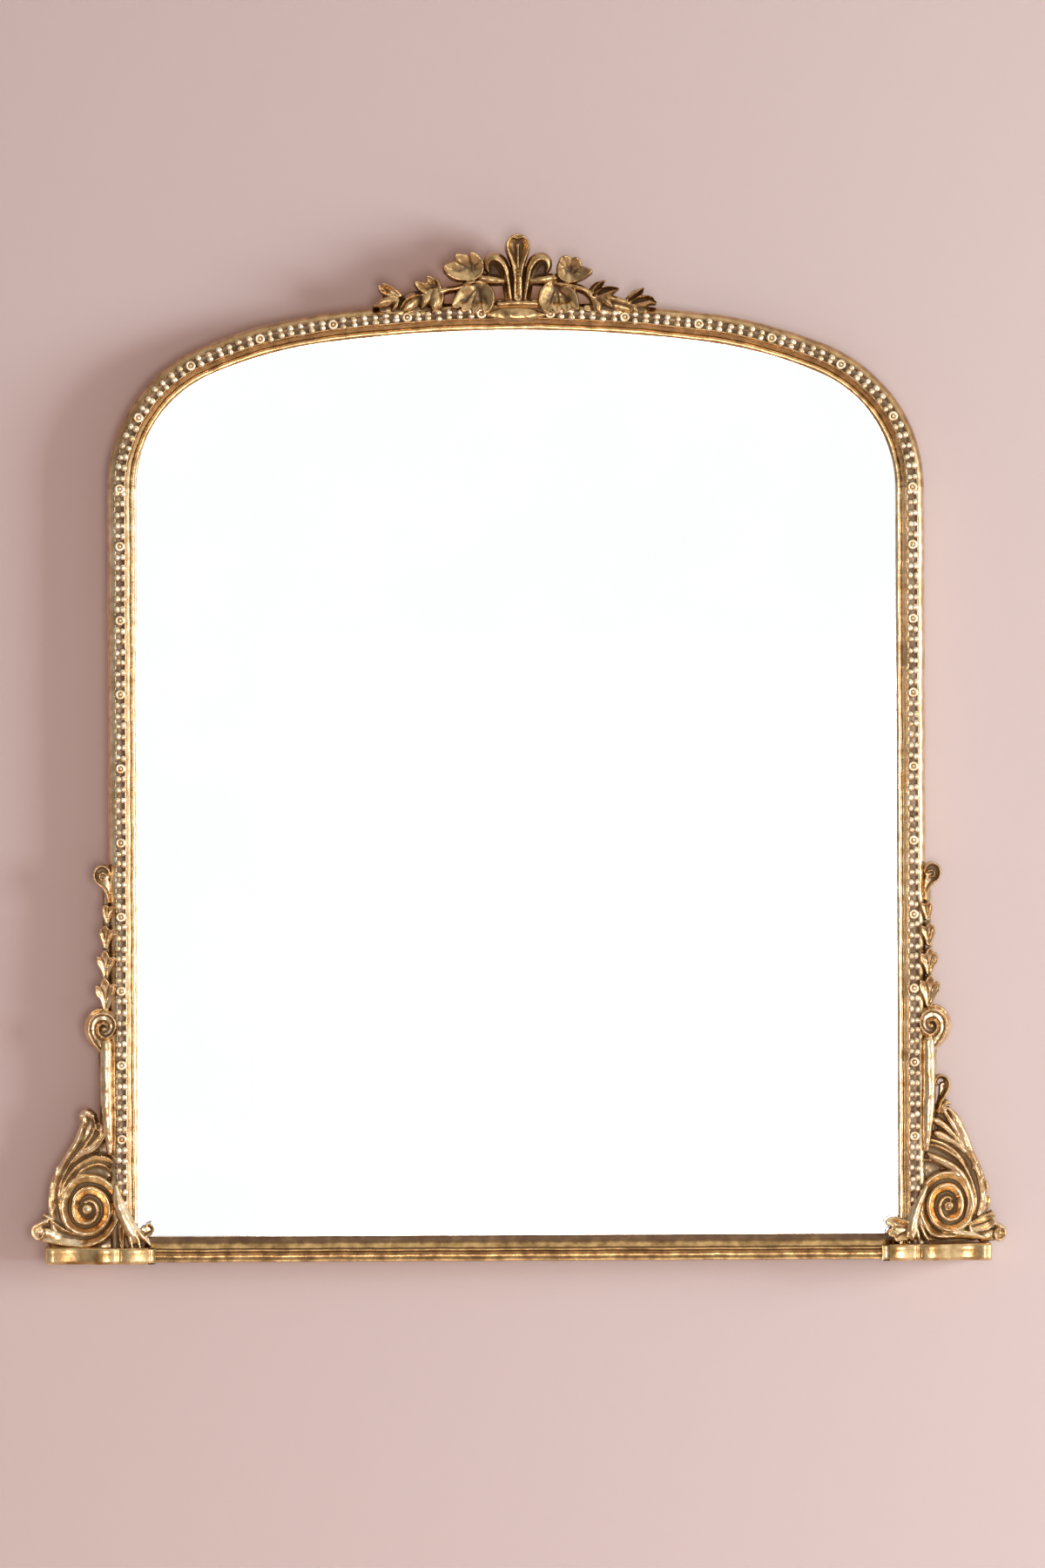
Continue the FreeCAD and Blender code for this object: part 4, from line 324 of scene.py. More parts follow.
CREST_PLUME = (
    Stroke(((-14.1, 851.8, 3.8, 3.8, 3), (17.8, 851.8, 3.8, 3.8, 3)), F, F, 0),
    Stroke(((1.9, 860.4, 10.6, 10.6, 3), (1.9, 865.3, 10.6, 10.6, 3), (1.9, 874.2, 12.2, 12.2, 3)), F, F, 0),
    Stroke(((-11.9, 874.2, 4.9, 4.9, 2), (-16.3, 880.8, 7.3, 7.3, 2)), F, F, 0),
    Stroke(((15.6, 874.2, 4.9, 4.9, 2), (20, 880.8, 7.3, 7.3, 2)), F, F, 0),
    Stroke(((-8.5, 871.5, 3.3, 3.3, 5.5), (-19.6, 872.4, 4.9, 4.9, 7.5), (-30.1, 873.8, 4.7, 4.7, 8.5)), R, R, 0),
    Stroke(((12.3, 871.5, 3.3, 3.3, 5.5), (23.3, 872.4, 4.9, 4.9, 7.5), (33.9, 873.8, 4.7, 4.7, 8.5)), R, R, 0),
    Leaf((
        ((1.9, 857, 4.4, 7), (1.9, 867.6, 4.2, 8), (1.9, 877.5, 4.8, 9.5), (1.9, 886.9, 6.6, 11),
         (1.9, 895.8, 9.5, 12.5), (1.9, 901.9, 11.5, 13.5)),
    ), 1.3, 0.55, 3.8, 3, 0.5, 0.0),
    Stroke(((1.9, 879.7, 1, 1, 9), (1.9, 890.8, 1.7, 1.7, 10.5), (1.9, 903, 2.2, 2.2, 9.5)), R, R, 6),
    Stroke(((-7.2, 905.6, 1.1, 1.1, 12.8), (-4.1, 909.6, 1.4, 1.4, 13.8), (1.9, 908.7, 1.3, 1.3, 13.4),
            (7.8, 909.6, 1.4, 1.4, 13.8), (10.9, 905.6, 1.1, 1.1, 12.8)), R, R, 8),
    Stroke(((-5, 855.4, 4.3, 2.5, 7.5), (-6.6, 865.3, 4.6, 3.2, 9), (-7.9, 873.6, 4.6, 3.9, 10.5),
            (-10.1, 881.4, 5, 5.3, 11.5), (-14.1, 887.3, 5, 7.1, 12.5), (-19.2, 889.7, 4.3, 7.4, 12.5),
            (-22.9, 887.9, 3.2, 6, 11.5), (-24.5, 883.5, 1.8, 3.9, 10), (-23.4, 879.5, 1.4, 2.1, 8)), H, R, 3),
    Stroke(((8.7, 855.4, 2.5, 4.3, 7.5), (10.3, 865.3, 3.2, 4.6, 9), (11.6, 873.6, 3.9, 4.6, 10.5),
            (13.8, 881.4, 5.3, 5, 11.5), (17.8, 887.3, 7.1, 5, 12.5), (22.9, 889.7, 7.4, 4.3, 12.5),
            (26.7, 887.9, 6, 3.2, 11.5), (28.2, 883.5, 3.9, 1.8, 10), (27.1, 879.5, 2.1, 1.4, 8)), R, H, 3),
    Stroke(((-15.2, 851, 2.4, 2.4, 5), (1.9, 851.8, 2.9, 2.9, 5.5), (18.9, 851, 2.4, 2.4, 5)), R, R, 2),
    Stroke(((1.9, 880.2, 1.7, 1.7, 12),), R, R, 6),
    Stroke(((1.9, 876.9, 1.7, 1.7, 11.6),), R, R, 6),
    Stroke(((1.9, 873.5, 1.7, 1.7, 11.2),), R, R, 6),
    Stroke(((1.9, 870.2, 1.7, 1.7, 10.8),), R, R, 6),
    Stroke(((1.9, 866.9, 1.7, 1.7, 10.4),), R, R, 6),
    Stroke(((1.9, 863.6, 1.7, 1.7, 10),), R, R, 6),
    Stroke(((1.9, 860.2, 1.7, 1.7, 9.6),), R, R, 6),
)

CREST_LEAF_LEFT = (
    Stroke(((-31.2, 872, 2.9, 2.9, 4), (-39, 868.7, 4.4, 4.4, 4), (-41.2, 858.7, 6.6, 6.6, 4),
            (-34, 858.7, 6.6, 6.6, 4)), F, F, 0),
    Leaf((
        ((-41.2, 881.7, 10.9, 8.5), (-51.5, 880.4, 9.1, 10.5), (-58.9, 882, 5.5, 12.5), (-62.1, 883.1, 2.9, 13.5)),
        ((-40.7, 882.5, 10.9, 8.5), (-47.3, 888.6, 6.9, 11.5), (-51.5, 892.6, 3.3, 13.5)),
        ((-38.4, 882.5, 10.4, 8.5), (-37.3, 889.5, 6.9, 11.5), (-38.7, 893.9, 3.5, 13.5)),
        ((-37.3, 882.5, 9.3, 9), (-33.3, 886.2, 5.5, 12)),
    ), 1, 0.85, 8.9, 3, 0.5, 0.6),
    Stroke(((-45.6, 868.2, 2, 2, 9), (-41.5, 869.3, 2.7, 2.7, 11), (-36.7, 870.2, 2.2, 2.2, 9.5)), R, R, 3),
    Leaf((
        ((-36.2, 863.7, 7.3, 7), (-46, 858, 7.3, 10), (-53.5, 850.1, 4, 12.5)),
        ((-34.9, 863.1, 7.3, 7), (-41.5, 852.9, 6.2, 10.5), (-46, 845.9, 3.3, 12.5)),
        ((-33.1, 863.1, 8, 7), (-34.9, 851.8, 6, 10.5), (-36.7, 844.5, 3.1, 12.5)),
        ((-31.8, 863.7, 8.6, 7), (-26.5, 858, 8.4, 11.5), (-25.6, 849.8, 6, 12.5), (-26.9, 844.5, 2.9, 12.5)),
    ), 1, 0.8, 6.9, 3, 0.5, 0.9),
)

CREST_LEAF_RIGHT = (
    Stroke(((33, 872, 2.9, 2.9, 4), (38.5, 868.7, 4.4, 4.4, 4), (33, 858.7, 6.6, 6.6, 4), (42.9, 858.7, 6.6, 6.6, 4)),
           F, F, 0),
    Leaf((
        ((47.1, 879.5, 10.2, 8.5), (44.5, 886.6, 7.1, 11.5), (43.6, 890.8, 3.5, 13.5)),
        ((49.4, 879.5, 10, 8.5), (52.5, 886.4, 6.2, 11.5), (54.2, 889.3, 3.1, 13.5)),
        ((50.5, 878, 8.9, 8.5), (58.4, 878.4, 6.2, 11.5), (63.5, 879.1, 4, 13), (65.7, 879.4, 2.9, 13.5)),
        ((44, 878.4, 7.8, 9), (41.8, 882.8, 5.5, 11.5)),
    ), 1, 0.85, 8.9, 3, 0.5, 0.6),
    Stroke(((34.1, 869.1, 2.2, 2.2, 9.5), (39.6, 868.2, 2.7, 2.7, 11), (46.3, 867.8, 2.2, 2.2, 9)), R, R, 3),
    Leaf((
        ((33, 863.7, 8.6, 7), (27.9, 858.5, 8.2, 11.5), (25.7, 850.3, 5.5, 12.5), (27.9, 844.1, 2.7, 12.5)),
        ((34.7, 863.1, 8, 7), (34.5, 852.5, 6.2, 10.5), (35.8, 844.5, 3.1, 12.5)),
        ((37, 863.1, 7.3, 7), (42.9, 852.9, 6.2, 10.5), (44.7, 845, 3.3, 12.5)),
        ((38.5, 863.7, 7.1, 7), (48.2, 857.4, 6.6, 10), (53.1, 848.1, 3.8, 12.5)),
    ), 1, 0.8, 6.9, 3, 0.5, 0.9),
)

CREST_SPRAY_LEFT = (
    Stroke(((-69.4, 845.2, 2.9, 2.9, 3.5), (-87.2, 845, 4.4, 4.4, 3.5), (-103.8, 845, 4.4, 4.4, 3.5),
            (-118.2, 846.3, 2.9, 2.9, 3)), F, F, 0),
    Stroke(((-44, 866.9, 2.7, 2.7, 8), (-51.7, 864.7, 3.1, 3.1, 8.5), (-59.5, 863.6, 3.1, 3.1, 9),
            (-66.7, 862, 3.5, 3.5, 9)), R, R, 2),
    Leaf((
        ((-72.2, 864, 5.3, 8), (-80.7, 865.1, 5.1, 9.5), (-86.7, 868.4, 3.1, 11.5), (-89.4, 870.5, 1.1, 12.5)),
        ((-71.7, 864.8, 5.1, 8), (-74.8, 870.7, 4.2, 10), (-77, 874, 2.4, 12), (-78.2, 875.4, 1, 12.5)),
        ((-69.9, 865.3, 4.4, 8), (-69.9, 870.2, 2.9, 10.5), (-70.8, 872.4, 1.3, 11.5)),
    ), 0.9, 0.55, 3.3, 2.5, 0.5, 0.6),
    Stroke(((-75.5, 862, 4.7, 4.7, 8), (-79, 856.5, 5.9, 5.6, 10), (-81.4, 851.4, 4.3, 4, 10),
            (-82.9, 847.9, 1.6, 1.6, 8.5)), R, R, 2),
    Stroke(((-71.1, 862, 5.3, 5.3, 8), (-71.2, 855.4, 6.8, 6.5, 10.5), (-71.9, 848.7, 5, 4.7, 10.5),
            (-72.8, 844.1, 1.6, 1.6, 8.5)), R, R, 2),
    Stroke(((-66.3, 861.8, 2.5, 2.5, 8.5), (-64.6, 858.7, 1.9, 1.9, 9.5), (-65, 853.7, 1.9, 1.9, 9.5),
            (-67.4, 848.2, 1.9, 1.6, 8.5)), R, R, 2),
    Stroke(((-82.1, 859.6, 2.2, 3.1, 8.5), (-91.1, 858.3, 2.2, 4, 9.5), (-98, 854.3, 1.9, 4, 9.5),
            (-102.4, 847.2, 1.4, 2.2, 8)), R, H, 2),
    Stroke(((-87.2, 854.3, 4.7, 4.7, 6), (-93.8, 849.8, 5.3, 5.3, 6.5), (-98.2, 846.3, 2.8, 2.8, 5.5)), R, R, 2),
    Leaf((
        ((-102.4, 858.5, 2.2, 8), (-108.4, 861.4, 4, 9.5), (-113.9, 865.6, 3.5, 11.5), (-117.3, 868.9, 1.4, 13)),
        ((-107.6, 858.7, 2.2, 8), (-115.9, 862, 3.3, 9.5), (-119.9, 865.3, 2.4, 10.5), (-121, 867.6, 1.1, 11)),
    ), 0.9, 0.5, 2.9, 2.5, 0.5, 0.5),
    Stroke(((-105.4, 855.6, 3.1, 3.1, 8), (-113.7, 854.1, 5.9, 5.3, 9.5), (-120.4, 851.4, 4.2, 3.7, 9.5),
            (-125.7, 849.2, 1.4, 1.4, 8.5)), R, R, 2),
    Stroke(((-104.3, 854.3, 2.5, 2.5, 8), (-106.2, 849.6, 3.1, 3.1, 9), (-108.6, 846.1, 1.6, 1.6, 8.5)), R, R, 2),
)

CREST_SPRAY_RIGHT = (
    Stroke(((62.9, 847.2, 3.5, 3.5, 3.5), (80.6, 845.4, 4.4, 4.4, 3.5), (96.1, 844.8, 4, 4, 3.5),
            (113.8, 844.3, 3.1, 3.1, 3)), F, F, 0),
    Stroke(((47.6, 867.1, 2.8, 2.8, 8), (55.7, 865.3, 3.3, 3.3, 9), (62.9, 862, 3.3, 3.3, 9.5),
            (67.5, 856.5, 2.8, 2.8, 9)), R, R, 2),
    Stroke(((51.8, 863.1, 1.9, 1.9, 8), (54, 855.4, 1.9, 1.9, 8.5), (55.7, 848.7, 1.9, 1.9, 8)), R, R, 2),
    Stroke(((67.5, 858.5, 3.7, 3.7, 8), (70.8, 864, 5, 4.7, 10.5), (75.3, 868.4, 3.9, 3.6, 12),
            (78.4, 870.9, 1.4, 1.4, 12.5)), R, D, 2),
    Stroke(((69.7, 857.4, 3.7, 3.7, 8), (78.4, 860.7, 5.6, 5.3, 10.5), (85.2, 862.9, 4, 3.7, 12),
            (90.5, 864, 1.4, 1.4, 12.5)), D, R, 2),
    Stroke(((69.3, 855.4, 4, 4, 8), (71.7, 849.8, 5.9, 5.6, 10.5), (73, 845.4, 4.3, 4, 10.5),
            (74.4, 842.8, 1.6, 1.6, 9)), R, R, 2),
    Stroke(((73.9, 856.3, 3.4, 3.4, 8), (80.8, 852.9, 4, 4, 10), (85, 848.7, 2.2, 2.2, 9)), R, R, 2),
    Stroke(((78.4, 858, 2.5, 2.5, 8), (89.7, 854.3, 3.3, 2.8, 9), (99.4, 851.5, 2.9, 2.8, 9)), R, R, 2),
    Stroke(((87.2, 849.8, 4, 4, 5.5), (96.1, 847.6, 4, 4, 6), (102.7, 845, 2.5, 2.5, 5.5)), R, R, 2),
    Stroke(((99.6, 854.1, 3.1, 3.1, 8), (105.4, 858.7, 4.5, 4.2, 10.5), (110.7, 862, 3.4, 3.1, 12),
            (113.1, 864.5, 1.2, 1.2, 12.5)), R, D, 2),
    Stroke(((102.7, 850.7, 3.4, 3.4, 8), (111.8, 852.5, 5.6, 5.3, 10.5), (118.4, 853.6, 4.8, 4.5, 11.5),
            (123.3, 851.8, 1.9, 1.9, 11.5)), D, R, 2),
    Stroke(((101.8, 849.8, 3.1, 3.1, 8), (104.7, 846.7, 3.7, 3.4, 9.5), (107.8, 843.9, 1.4, 1.4, 8.5)), R, R, 2),
)

CREST_TABLET = (
    Stroke(((-28, 841.6, 0.6, 0.6, 1), (-20, 841.7, 3.4, 3.4, 1.8), (-10, 841.7, 5.4, 5.4, 2.6), (0, 841.8, 6, 6, 3),
            (10, 841.7, 5.4, 5.4, 2.6), (20, 841.7, 3.4, 3.4, 1.8), (28, 841.6, 0.6, 0.6, 1)), R, R, 0.3),
)


def linear(code: str) -> tuple:
    """Turns an sRGB hex colour into linear RGBA.

    Args:
        code: colour as "#RRGGBB".

    Returns:
        Linear red, green, blue and an alpha of 1.
    """
    parts = [int(code[i:i + 2], 16) / 255 for i in (1, 3, 5)]
    return tuple(c / 12.92 if c <= 0.04045 else ((c + 0.055) / 1.055) ** 2.4 for c in parts) + (1.0,)


def add_node(tree: bpy.types.NodeTree, kind: str, links: Optional[dict] = None, **settings: Any) -> bpy.types.Node:
    """Adds a node with its settings, input values and links.

    Args:
        tree: node tree that gets the node.
        kind: node type name.
        links: input name or index to a socket to link from, or a value to set.
        settings: node properties.

    Returns:
        The new node.
    """
    node = tree.nodes.new(kind)
    for name, value in settings.items():
        setattr(node, name, value)
    for key, value in (links or {}).items():
        if isinstance(value, bpy.types.NodeSocket):
            tree.links.new(value, node.inputs[key])
        else:
            node.inputs[key].default_value = value
    return node


def new_material(name: str) -> tuple:
    """Starts a node material.

    Args:
        name: name of the real material.

    Returns:
        The material, its tree, its Object coordinates and its Principled shader.
    """
    material = bpy.data.materials.new(name)
    material.use_nodes = True
    tree = material.node_tree
    tree.nodes.clear()
    shader = add_node(tree, "ShaderNodeBsdfPrincipled")
    add_node(tree, "ShaderNodeOutputMaterial", {"Surface": shader.outputs[0]})
    return material, tree, add_node(tree, "ShaderNodeTexCoord").outputs["Object"], shader


@dataclass(frozen=True)
class GiltFinish:
    """Water gilding over brown bole and gesso, with umber and a brown wash in the recesses, partly painted shade.

    The eye gets broken, slightly rippled gold: bright on rubbed ridges, brown where the leaf is thin,
    and a dull wash in the recesses that is partly painted shade. The leaf of the arch fades to the paler one
    of the stiles at its foot, a painted darkening towards the top.
    """

    name: str
    leaf: str = "#F3DAB3"
    thin_leaf: str = "#CCA773"
    bole: str = "#86663F"
    # Browns of the real toning in the recesses, which also carry painted shade there.
    umber_and_shade: str = "#6E5637"
    wash_and_shade: str = "#857052"
    wash_and_shade_bias: float = 0.0
    foot_leaf: str = ""
    fade_mm: float = 110.0
    polish: float = 0.14
    varnish: float = 0.6
    patch_mm: float = 30.0
    tone_mm: float = 9.0
    ripple_mm: float = 3.2

    def make(self) -> bpy.types.Material:
        """Builds the node material and returns it."""
        material, tree, coords, shader = new_material(self.name)
        tone = add_node(tree, "ShaderNodeTexNoise", {"Vector": coords, "Scale": 1 / (self.tone_mm * MM), "Detail": 4.0})
        patch = add_node(tree, "ShaderNodeTexNoise",
                         {"Vector": coords, "Scale": 1 / (self.patch_mm * MM), "Detail": 5.0, "Roughness": 0.65})
        ripple = add_node(tree, "ShaderNodeTexNoise",
                          {"Vector": coords, "Scale": 1 / (self.ripple_mm * MM), "Detail": 3.0})
        hollow = add_node(tree, "ShaderNodeAttribute", attribute_name="hollow").outputs["Fac"]
        broken = add_node(tree, "ShaderNodeMath", {0: tone.outputs[0], 1: 0.5, 2: self.wash_and_shade_bias - 0.25},
                          operation="MULTIPLY_ADD")
        depth = add_node(tree, "ShaderNodeMath", {0: hollow, 1: broken.outputs[0]}, operation="ADD")
        # Umber and wash go on by depth in a recess: partly real toning, partly painted shade where the recesses catch
        # less light.
        umber_and_shade = add_node(tree, "ShaderNodeMapRange", {"Value": depth.outputs[0], "From Min": 0.1, "From Max": 0.55,
                                                      "To Max": 0.55}, interpolation_type="SMOOTHSTEP")
        wash_and_shade = add_node(tree, "ShaderNodeMapRange", {"Value": depth.outputs[0], "From Min": 0.25, "From Max": 0.95,
                                                     "To Max": 0.9}, interpolation_type="SMOOTHSTEP")
        spots = add_node(tree, "ShaderNodeMapRange", {"Value": tone.outputs[0], "From Min": 0.35, "From Max": 0.68})
        worn = add_node(tree, "ShaderNodeMapRange", {"Value": patch.outputs[0], "From Min": 0.56, "From Max": 0.72,
                                                     "To Max": 0.6})
        leaf = linear(self.leaf)
        # The leaf darkens from the foot upward: painted shade for the dimmer light that the upper parts reflect.
        if self.foot_leaf:
            height = add_node(tree, "ShaderNodeSeparateXYZ", {0: coords}).outputs[2]
            climb = add_node(tree, "ShaderNodeMapRange", {"Value": height, "From Max": self.fade_mm * MM},
                             interpolation_type="SMOOTHSTEP")
            leaf = add_node(tree, "ShaderNodeMix", {0: climb.outputs[0], 6: linear(self.foot_leaf), 7: leaf},
                            data_type="RGBA").outputs[2]
        gold = add_node(tree, "ShaderNodeMix", {0: spots.outputs[0], 6: leaf, 7: linear(self.thin_leaf)},
                        data_type="RGBA")
        rubbed = add_node(tree, "ShaderNodeMix", {0: worn.outputs[0], 6: gold.outputs[2], 7: linear(self.bole)},
                          data_type="RGBA")
        shaded = add_node(tree, "ShaderNodeMix", {0: umber_and_shade.outputs[0], 6: rubbed.outputs[2], 7: linear(self.umber_and_shade)},
                          data_type="RGBA")
        tone_and_shade_mix = add_node(tree, "ShaderNodeMix", {0: wash_and_shade.outputs[0], 6: shaded.outputs[2], 7: linear(self.wash_and_shade)},
                         data_type="RGBA")
        metal = add_node(tree, "ShaderNodeMapRange", {"Value": wash_and_shade.outputs[0], "To Min": 1.0, "To Max": 0.15})
        dull = add_node(tree, "ShaderNodeMapRange", {"Value": patch.outputs[0], "From Min": 0.3, "From Max": 0.75,
                                                     "To Min": self.polish, "To Max": self.polish + 0.2})
        rough = add_node(tree, "ShaderNodeMath", {0: wash_and_shade.outputs[0], 1: 0.35, 2: dull.outputs[0]},
                         operation="MULTIPLY_ADD", use_clamp=True)
        rise = add_node(tree, "ShaderNodeMath", {0: tone.outputs[0], 1: 2.0, 2: ripple.outputs[0]},
                        operation="MULTIPLY_ADD")
        bump = add_node(tree, "ShaderNodeBump", {"Height": rise.outputs[0], "Strength": 0.26, "Distance": 0.7 * MM})
        coat = add_node(tree, "ShaderNodeMapRange", {"Value": wash_and_shade.outputs[0], "To Min": self.varnish, "To Max": 0.0})
        shader.inputs["Coat Roughness"].default_value = 0.14
        for socket, source in (("Base Color", tone_and_shade_mix.outputs[2]), ("Metallic", metal.outputs[0]),
                               ("Roughness", rough.outputs[0]), ("Normal", bump.outputs[0]),
                               ("Coat Weight", coat.outputs[0])):
            tree.links.new(source, shader.inputs[socket])
        return material


@dataclass(frozen=True)
class PlainFinish:
    """A two-tone finish with its own grain: timber, hardboard, plated steel, rubber or silvering."""

    name: str
    first: str
    second: str
    grain_mm: tuple
    metallic: float
    rough_low: float
    rough_high: float
    bump_mm: float
    contrast: float = 0.3

    def make(self) -> bpy.types.Material:
        """Builds the node material and returns it."""
        material, tree, coords, shader = new_material(self.name)
        scaled = add_node(tree, "ShaderNodeMapping", {"Vector": coords, "Scale": [1 / (g * MM) for g in self.grain_mm]})
        grain = add_node(tree, "ShaderNodeTexNoise", {"Vector": scaled.outputs[0], "Scale": 1.0, "Detail": 5.0,
                                                      "Roughness": 0.6})
        share = add_node(tree, "ShaderNodeMapRange", {"Value": grain.outputs[0], "From Min": 0.5 - self.contrast / 2,
                                                      "From Max": 0.5 + self.contrast / 2})
        colour = add_node(tree, "ShaderNodeMix", {0: share.outputs[0], 6: linear(self.first), 7: linear(self.second)},
                          data_type="RGBA")
        rough = add_node(tree, "ShaderNodeMapRange", {"Value": grain.outputs[0], "To Min": self.rough_low,
                                                      "To Max": self.rough_high})
        tree.links.new(colour.outputs[2], shader.inputs["Base Color"])
        tree.links.new(rough.outputs[0], shader.inputs["Roughness"])
        shader.inputs["Metallic"].default_value = self.metallic
        if self.bump_mm:
            bump = add_node(tree, "ShaderNodeBump", {"Height": grain.outputs[0], "Strength": 0.6,
                                                     "Distance": self.bump_mm * MM})
            tree.links.new(bump.outputs[0], shader.inputs["Normal"])
        return material


class Finish(Enum):
    """Every finish on the mirror."""

    GILT = GiltFinish("water_gilt_leaf")
    # Arch and crest: a darker leaf and browns, partly toning, partly painted shade for the dimmer reflections at the
    # top of the frame.
    GILT_ARCH = GiltFinish("water_gilt_leaf_toned_and_shaded_brown", leaf="#D0AB76", thin_leaf="#9C794C", umber_and_shade="#5A4226",
                           wash_and_shade="#573F24", foot_leaf="#F2DAB6", patch_mm=45.0, varnish=0.45)
    # Stiles and rail take deeper browns in their recesses, a deeper painted shade between the pearls and in the quirks;
    # the rail's leaf is darker as well.
    GILT_STILE = GiltFinish("water_gilt_leaf_rubbed", leaf="#F2DAB6", umber_and_shade="#5A3D20", wash_and_shade="#573B1E")
    GILT_RAIL = GiltFinish("water_gilt_leaf_streaked", leaf="#D9B074", thin_leaf="#8F6B3D", umber_and_shade="#5A3D20",
                           wash_and_shade="#573B1E", patch_mm=24.0, varnish=0.25)
    GILT_BLOCK = GiltFinish("water_gilt_leaf_burnished", leaf="#F3D39C", thin_leaf="#A67C45", polish=0.17, varnish=0.3,
                            patch_mm=40.0, tone_mm=14.0)
    # The ground behind the carvings is washed deeper all over: umber toning and painted shade between the carved parts.
    GROUND = GiltFinish("umber_washed_and_shaded_gilt_ground", wash_and_shade="#745A3A", wash_and_shade_bias=0.45)
    # The pearls take a paler leaf than the rest of the gilding: burnished leaf with a painted highlight.
    PEARL = GiltFinish("burnished_and_highlighted_gilt_pearls", leaf="#FFF1D6", thin_leaf="#D9B379", polish=0.24, tone_mm=5.0)
    TIMBER = PlainFinish("ochre_sized_pine", "#B98A52", "#8E6436", (3.0, 3.0, 60.0), 0.0, 0.6, 0.8, 0.2)
    SILVER = PlainFinish("silvered_float_glass", "#FFFFFF", "#FDFEFE", (90.0, 90.0, 90.0), 1.0, 0.0, 0.01, 0.0)
    HARDBOARD = PlainFinish("tempered_hardboard", "#7A5636", "#5E4028", (1.6, 1.6, 1.6), 0.0, 0.55, 0.75, 0.15)
    BEECH = PlainFinish("beech_dowel", "#C79B6B", "#AD7F50", (1.2, 1.2, 18.0), 0.0, 0.5, 0.65, 0.1)
    ZINC = PlainFinish("zinc_plated_steel", "#C9CBC8", "#A7ABA9", (4.0, 4.0, 4.0), 1.0, 0.22, 0.42, 0.03)
    RUBBER = PlainFinish("moulded_rubber", "#3A3836", "#2E2C2B", (0.8, 0.8, 0.8), 0.0, 0.6, 0.8, 0.08)


class Finishes:
    """Makes each material once and hands it out."""

    def __init__(self) -> None:
        """Starts with no materials made."""
        self.made: dict = {}

    def __getitem__(self, finish: Finish) -> bpy.types.Material:
        """Returns the material of a finish."""
        if finish not in self.made:
            self.made[finish] = finish.value.make()
        return self.made[finish]


def add_piece(name: str, points: np.ndarray, faces: list, materials: Sequence, nodes: Sequence[str] = (),
              hollow: Optional[np.ndarray] = None, sharp: float = 50.0,
              back: Optional[float] = None) -> bpy.types.Object:
    """Makes a smooth-shaded piece that rides on the frame.

    Args:
        name: object name.
        points: vertex places in metres.
        faces: vertex indices of each face.
        materials: first the face material, then the one of faces that look at the wall.
        nodes: CAD nodes that the piece stands for.
        hollow: depth of each vertex below its surroundings, from -1 to 1, which sets its wash and painted shade.
        sharp: edges steeper than this many degrees stay sharp.
        back: faces turned to the wall behind this y take the second material.

    Returns:
        The new object.
    """
    mesh = bpy.data.meshes.new(name)
    mesh.from_pydata(points.tolist(), [], faces)
    mesh.update()
    if hollow is not None:
        mesh.attributes.new("hollow", "FLOAT", "POINT").data.foreach_set("value", hollow.astype(np.float32))
    for material in materials:
        mesh.materials.append(material)
    if back is not None:
        for polygon in mesh.polygons:
            if polygon.normal.y > 0.9 and polygon.center.y > back:
                polygon.material_index = 1
    mesh.shade_smooth()
    mesh.set_sharp_from_angle(angle=math.radians(sharp))
    thing = bpy.data.objects.new(name, mesh)
    bpy.context.collection.objects.link(thing)
    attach(thing, BODY)
    if nodes:
        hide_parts(*nodes)
    LOG.info("%s: %d faces", name, len(faces))
    return thing


def spline(rows: Sequence, gap: float) -> np.ndarray:
    """Runs a smooth curve through rows of numbers.

    Args:
        rows: control rows, the first two numbers being the place.
        gap: spacing of the samples in millimetres.

    Returns:
        Sampled rows.
    """
    given = np.array(rows, float)
    if len(given) == 1:
        return given
    ends = np.vstack([2 * given[0] - given[1], given, 2 * given[-1] - given[-2]])
    parts = []
    for a, b, c, d in zip(ends, ends[1:], ends[2:], ends[3:]):
        count = max(2, int(np.hypot(*(c - b)[:2]) / gap))
        t = np.linspace(0, 1, count, endpoint=False)[:, None]
        parts.append(0.5 * (2 * b + (c - a) * t + (2 * a - 5 * b + 4 * c - d) * t**2 + (3 * b - a - 3 * c + d) * t**3))
    return np.vstack(parts + [given[-1:]])


def blurred(sheet: np.ndarray, passes: int) -> np.ndarray:
    """Softens a height sheet by a number of small passes."""
    for _ in range(passes):
        sheet = (np.roll(sheet, 1, 0) + np.roll(sheet, -1, 0) + 2 * sheet) / 4
        sheet = (np.roll(sheet, 1, 1) + np.roll(sheet, -1, 1) + 2 * sheet) / 4
    return sheet


def section_height(section: Section, share: np.ndarray) -> np.ndarray:
    """Height of a stroke's section.

    Args:
        section: which cross section.
        share: distance from the ridge as a share of the width.

    Returns:
        Share of the ridge height, from 0 to 1.
    """
    share = np.clip(share, 0, 1)
    if section is Section.ROUND:
        return np.sqrt(1 - share**2)
    if section is Section.HOLLOW:
        return 0.9 * (1 - share) ** 1.5 + 0.1 * np.sqrt(1 - share**2)
    if section is Section.FLAT:
        return np.sqrt(np.minimum(1, 6 * (1 - share)))
    rim = 0.8
    bowl = 0.45 + 0.55 * (np.minimum(share, rim) / rim) ** 2
    return np.where(share < rim, bowl, np.sqrt(np.clip(1 - ((share - rim) / (1 - rim)) ** 2, 0, 1)))


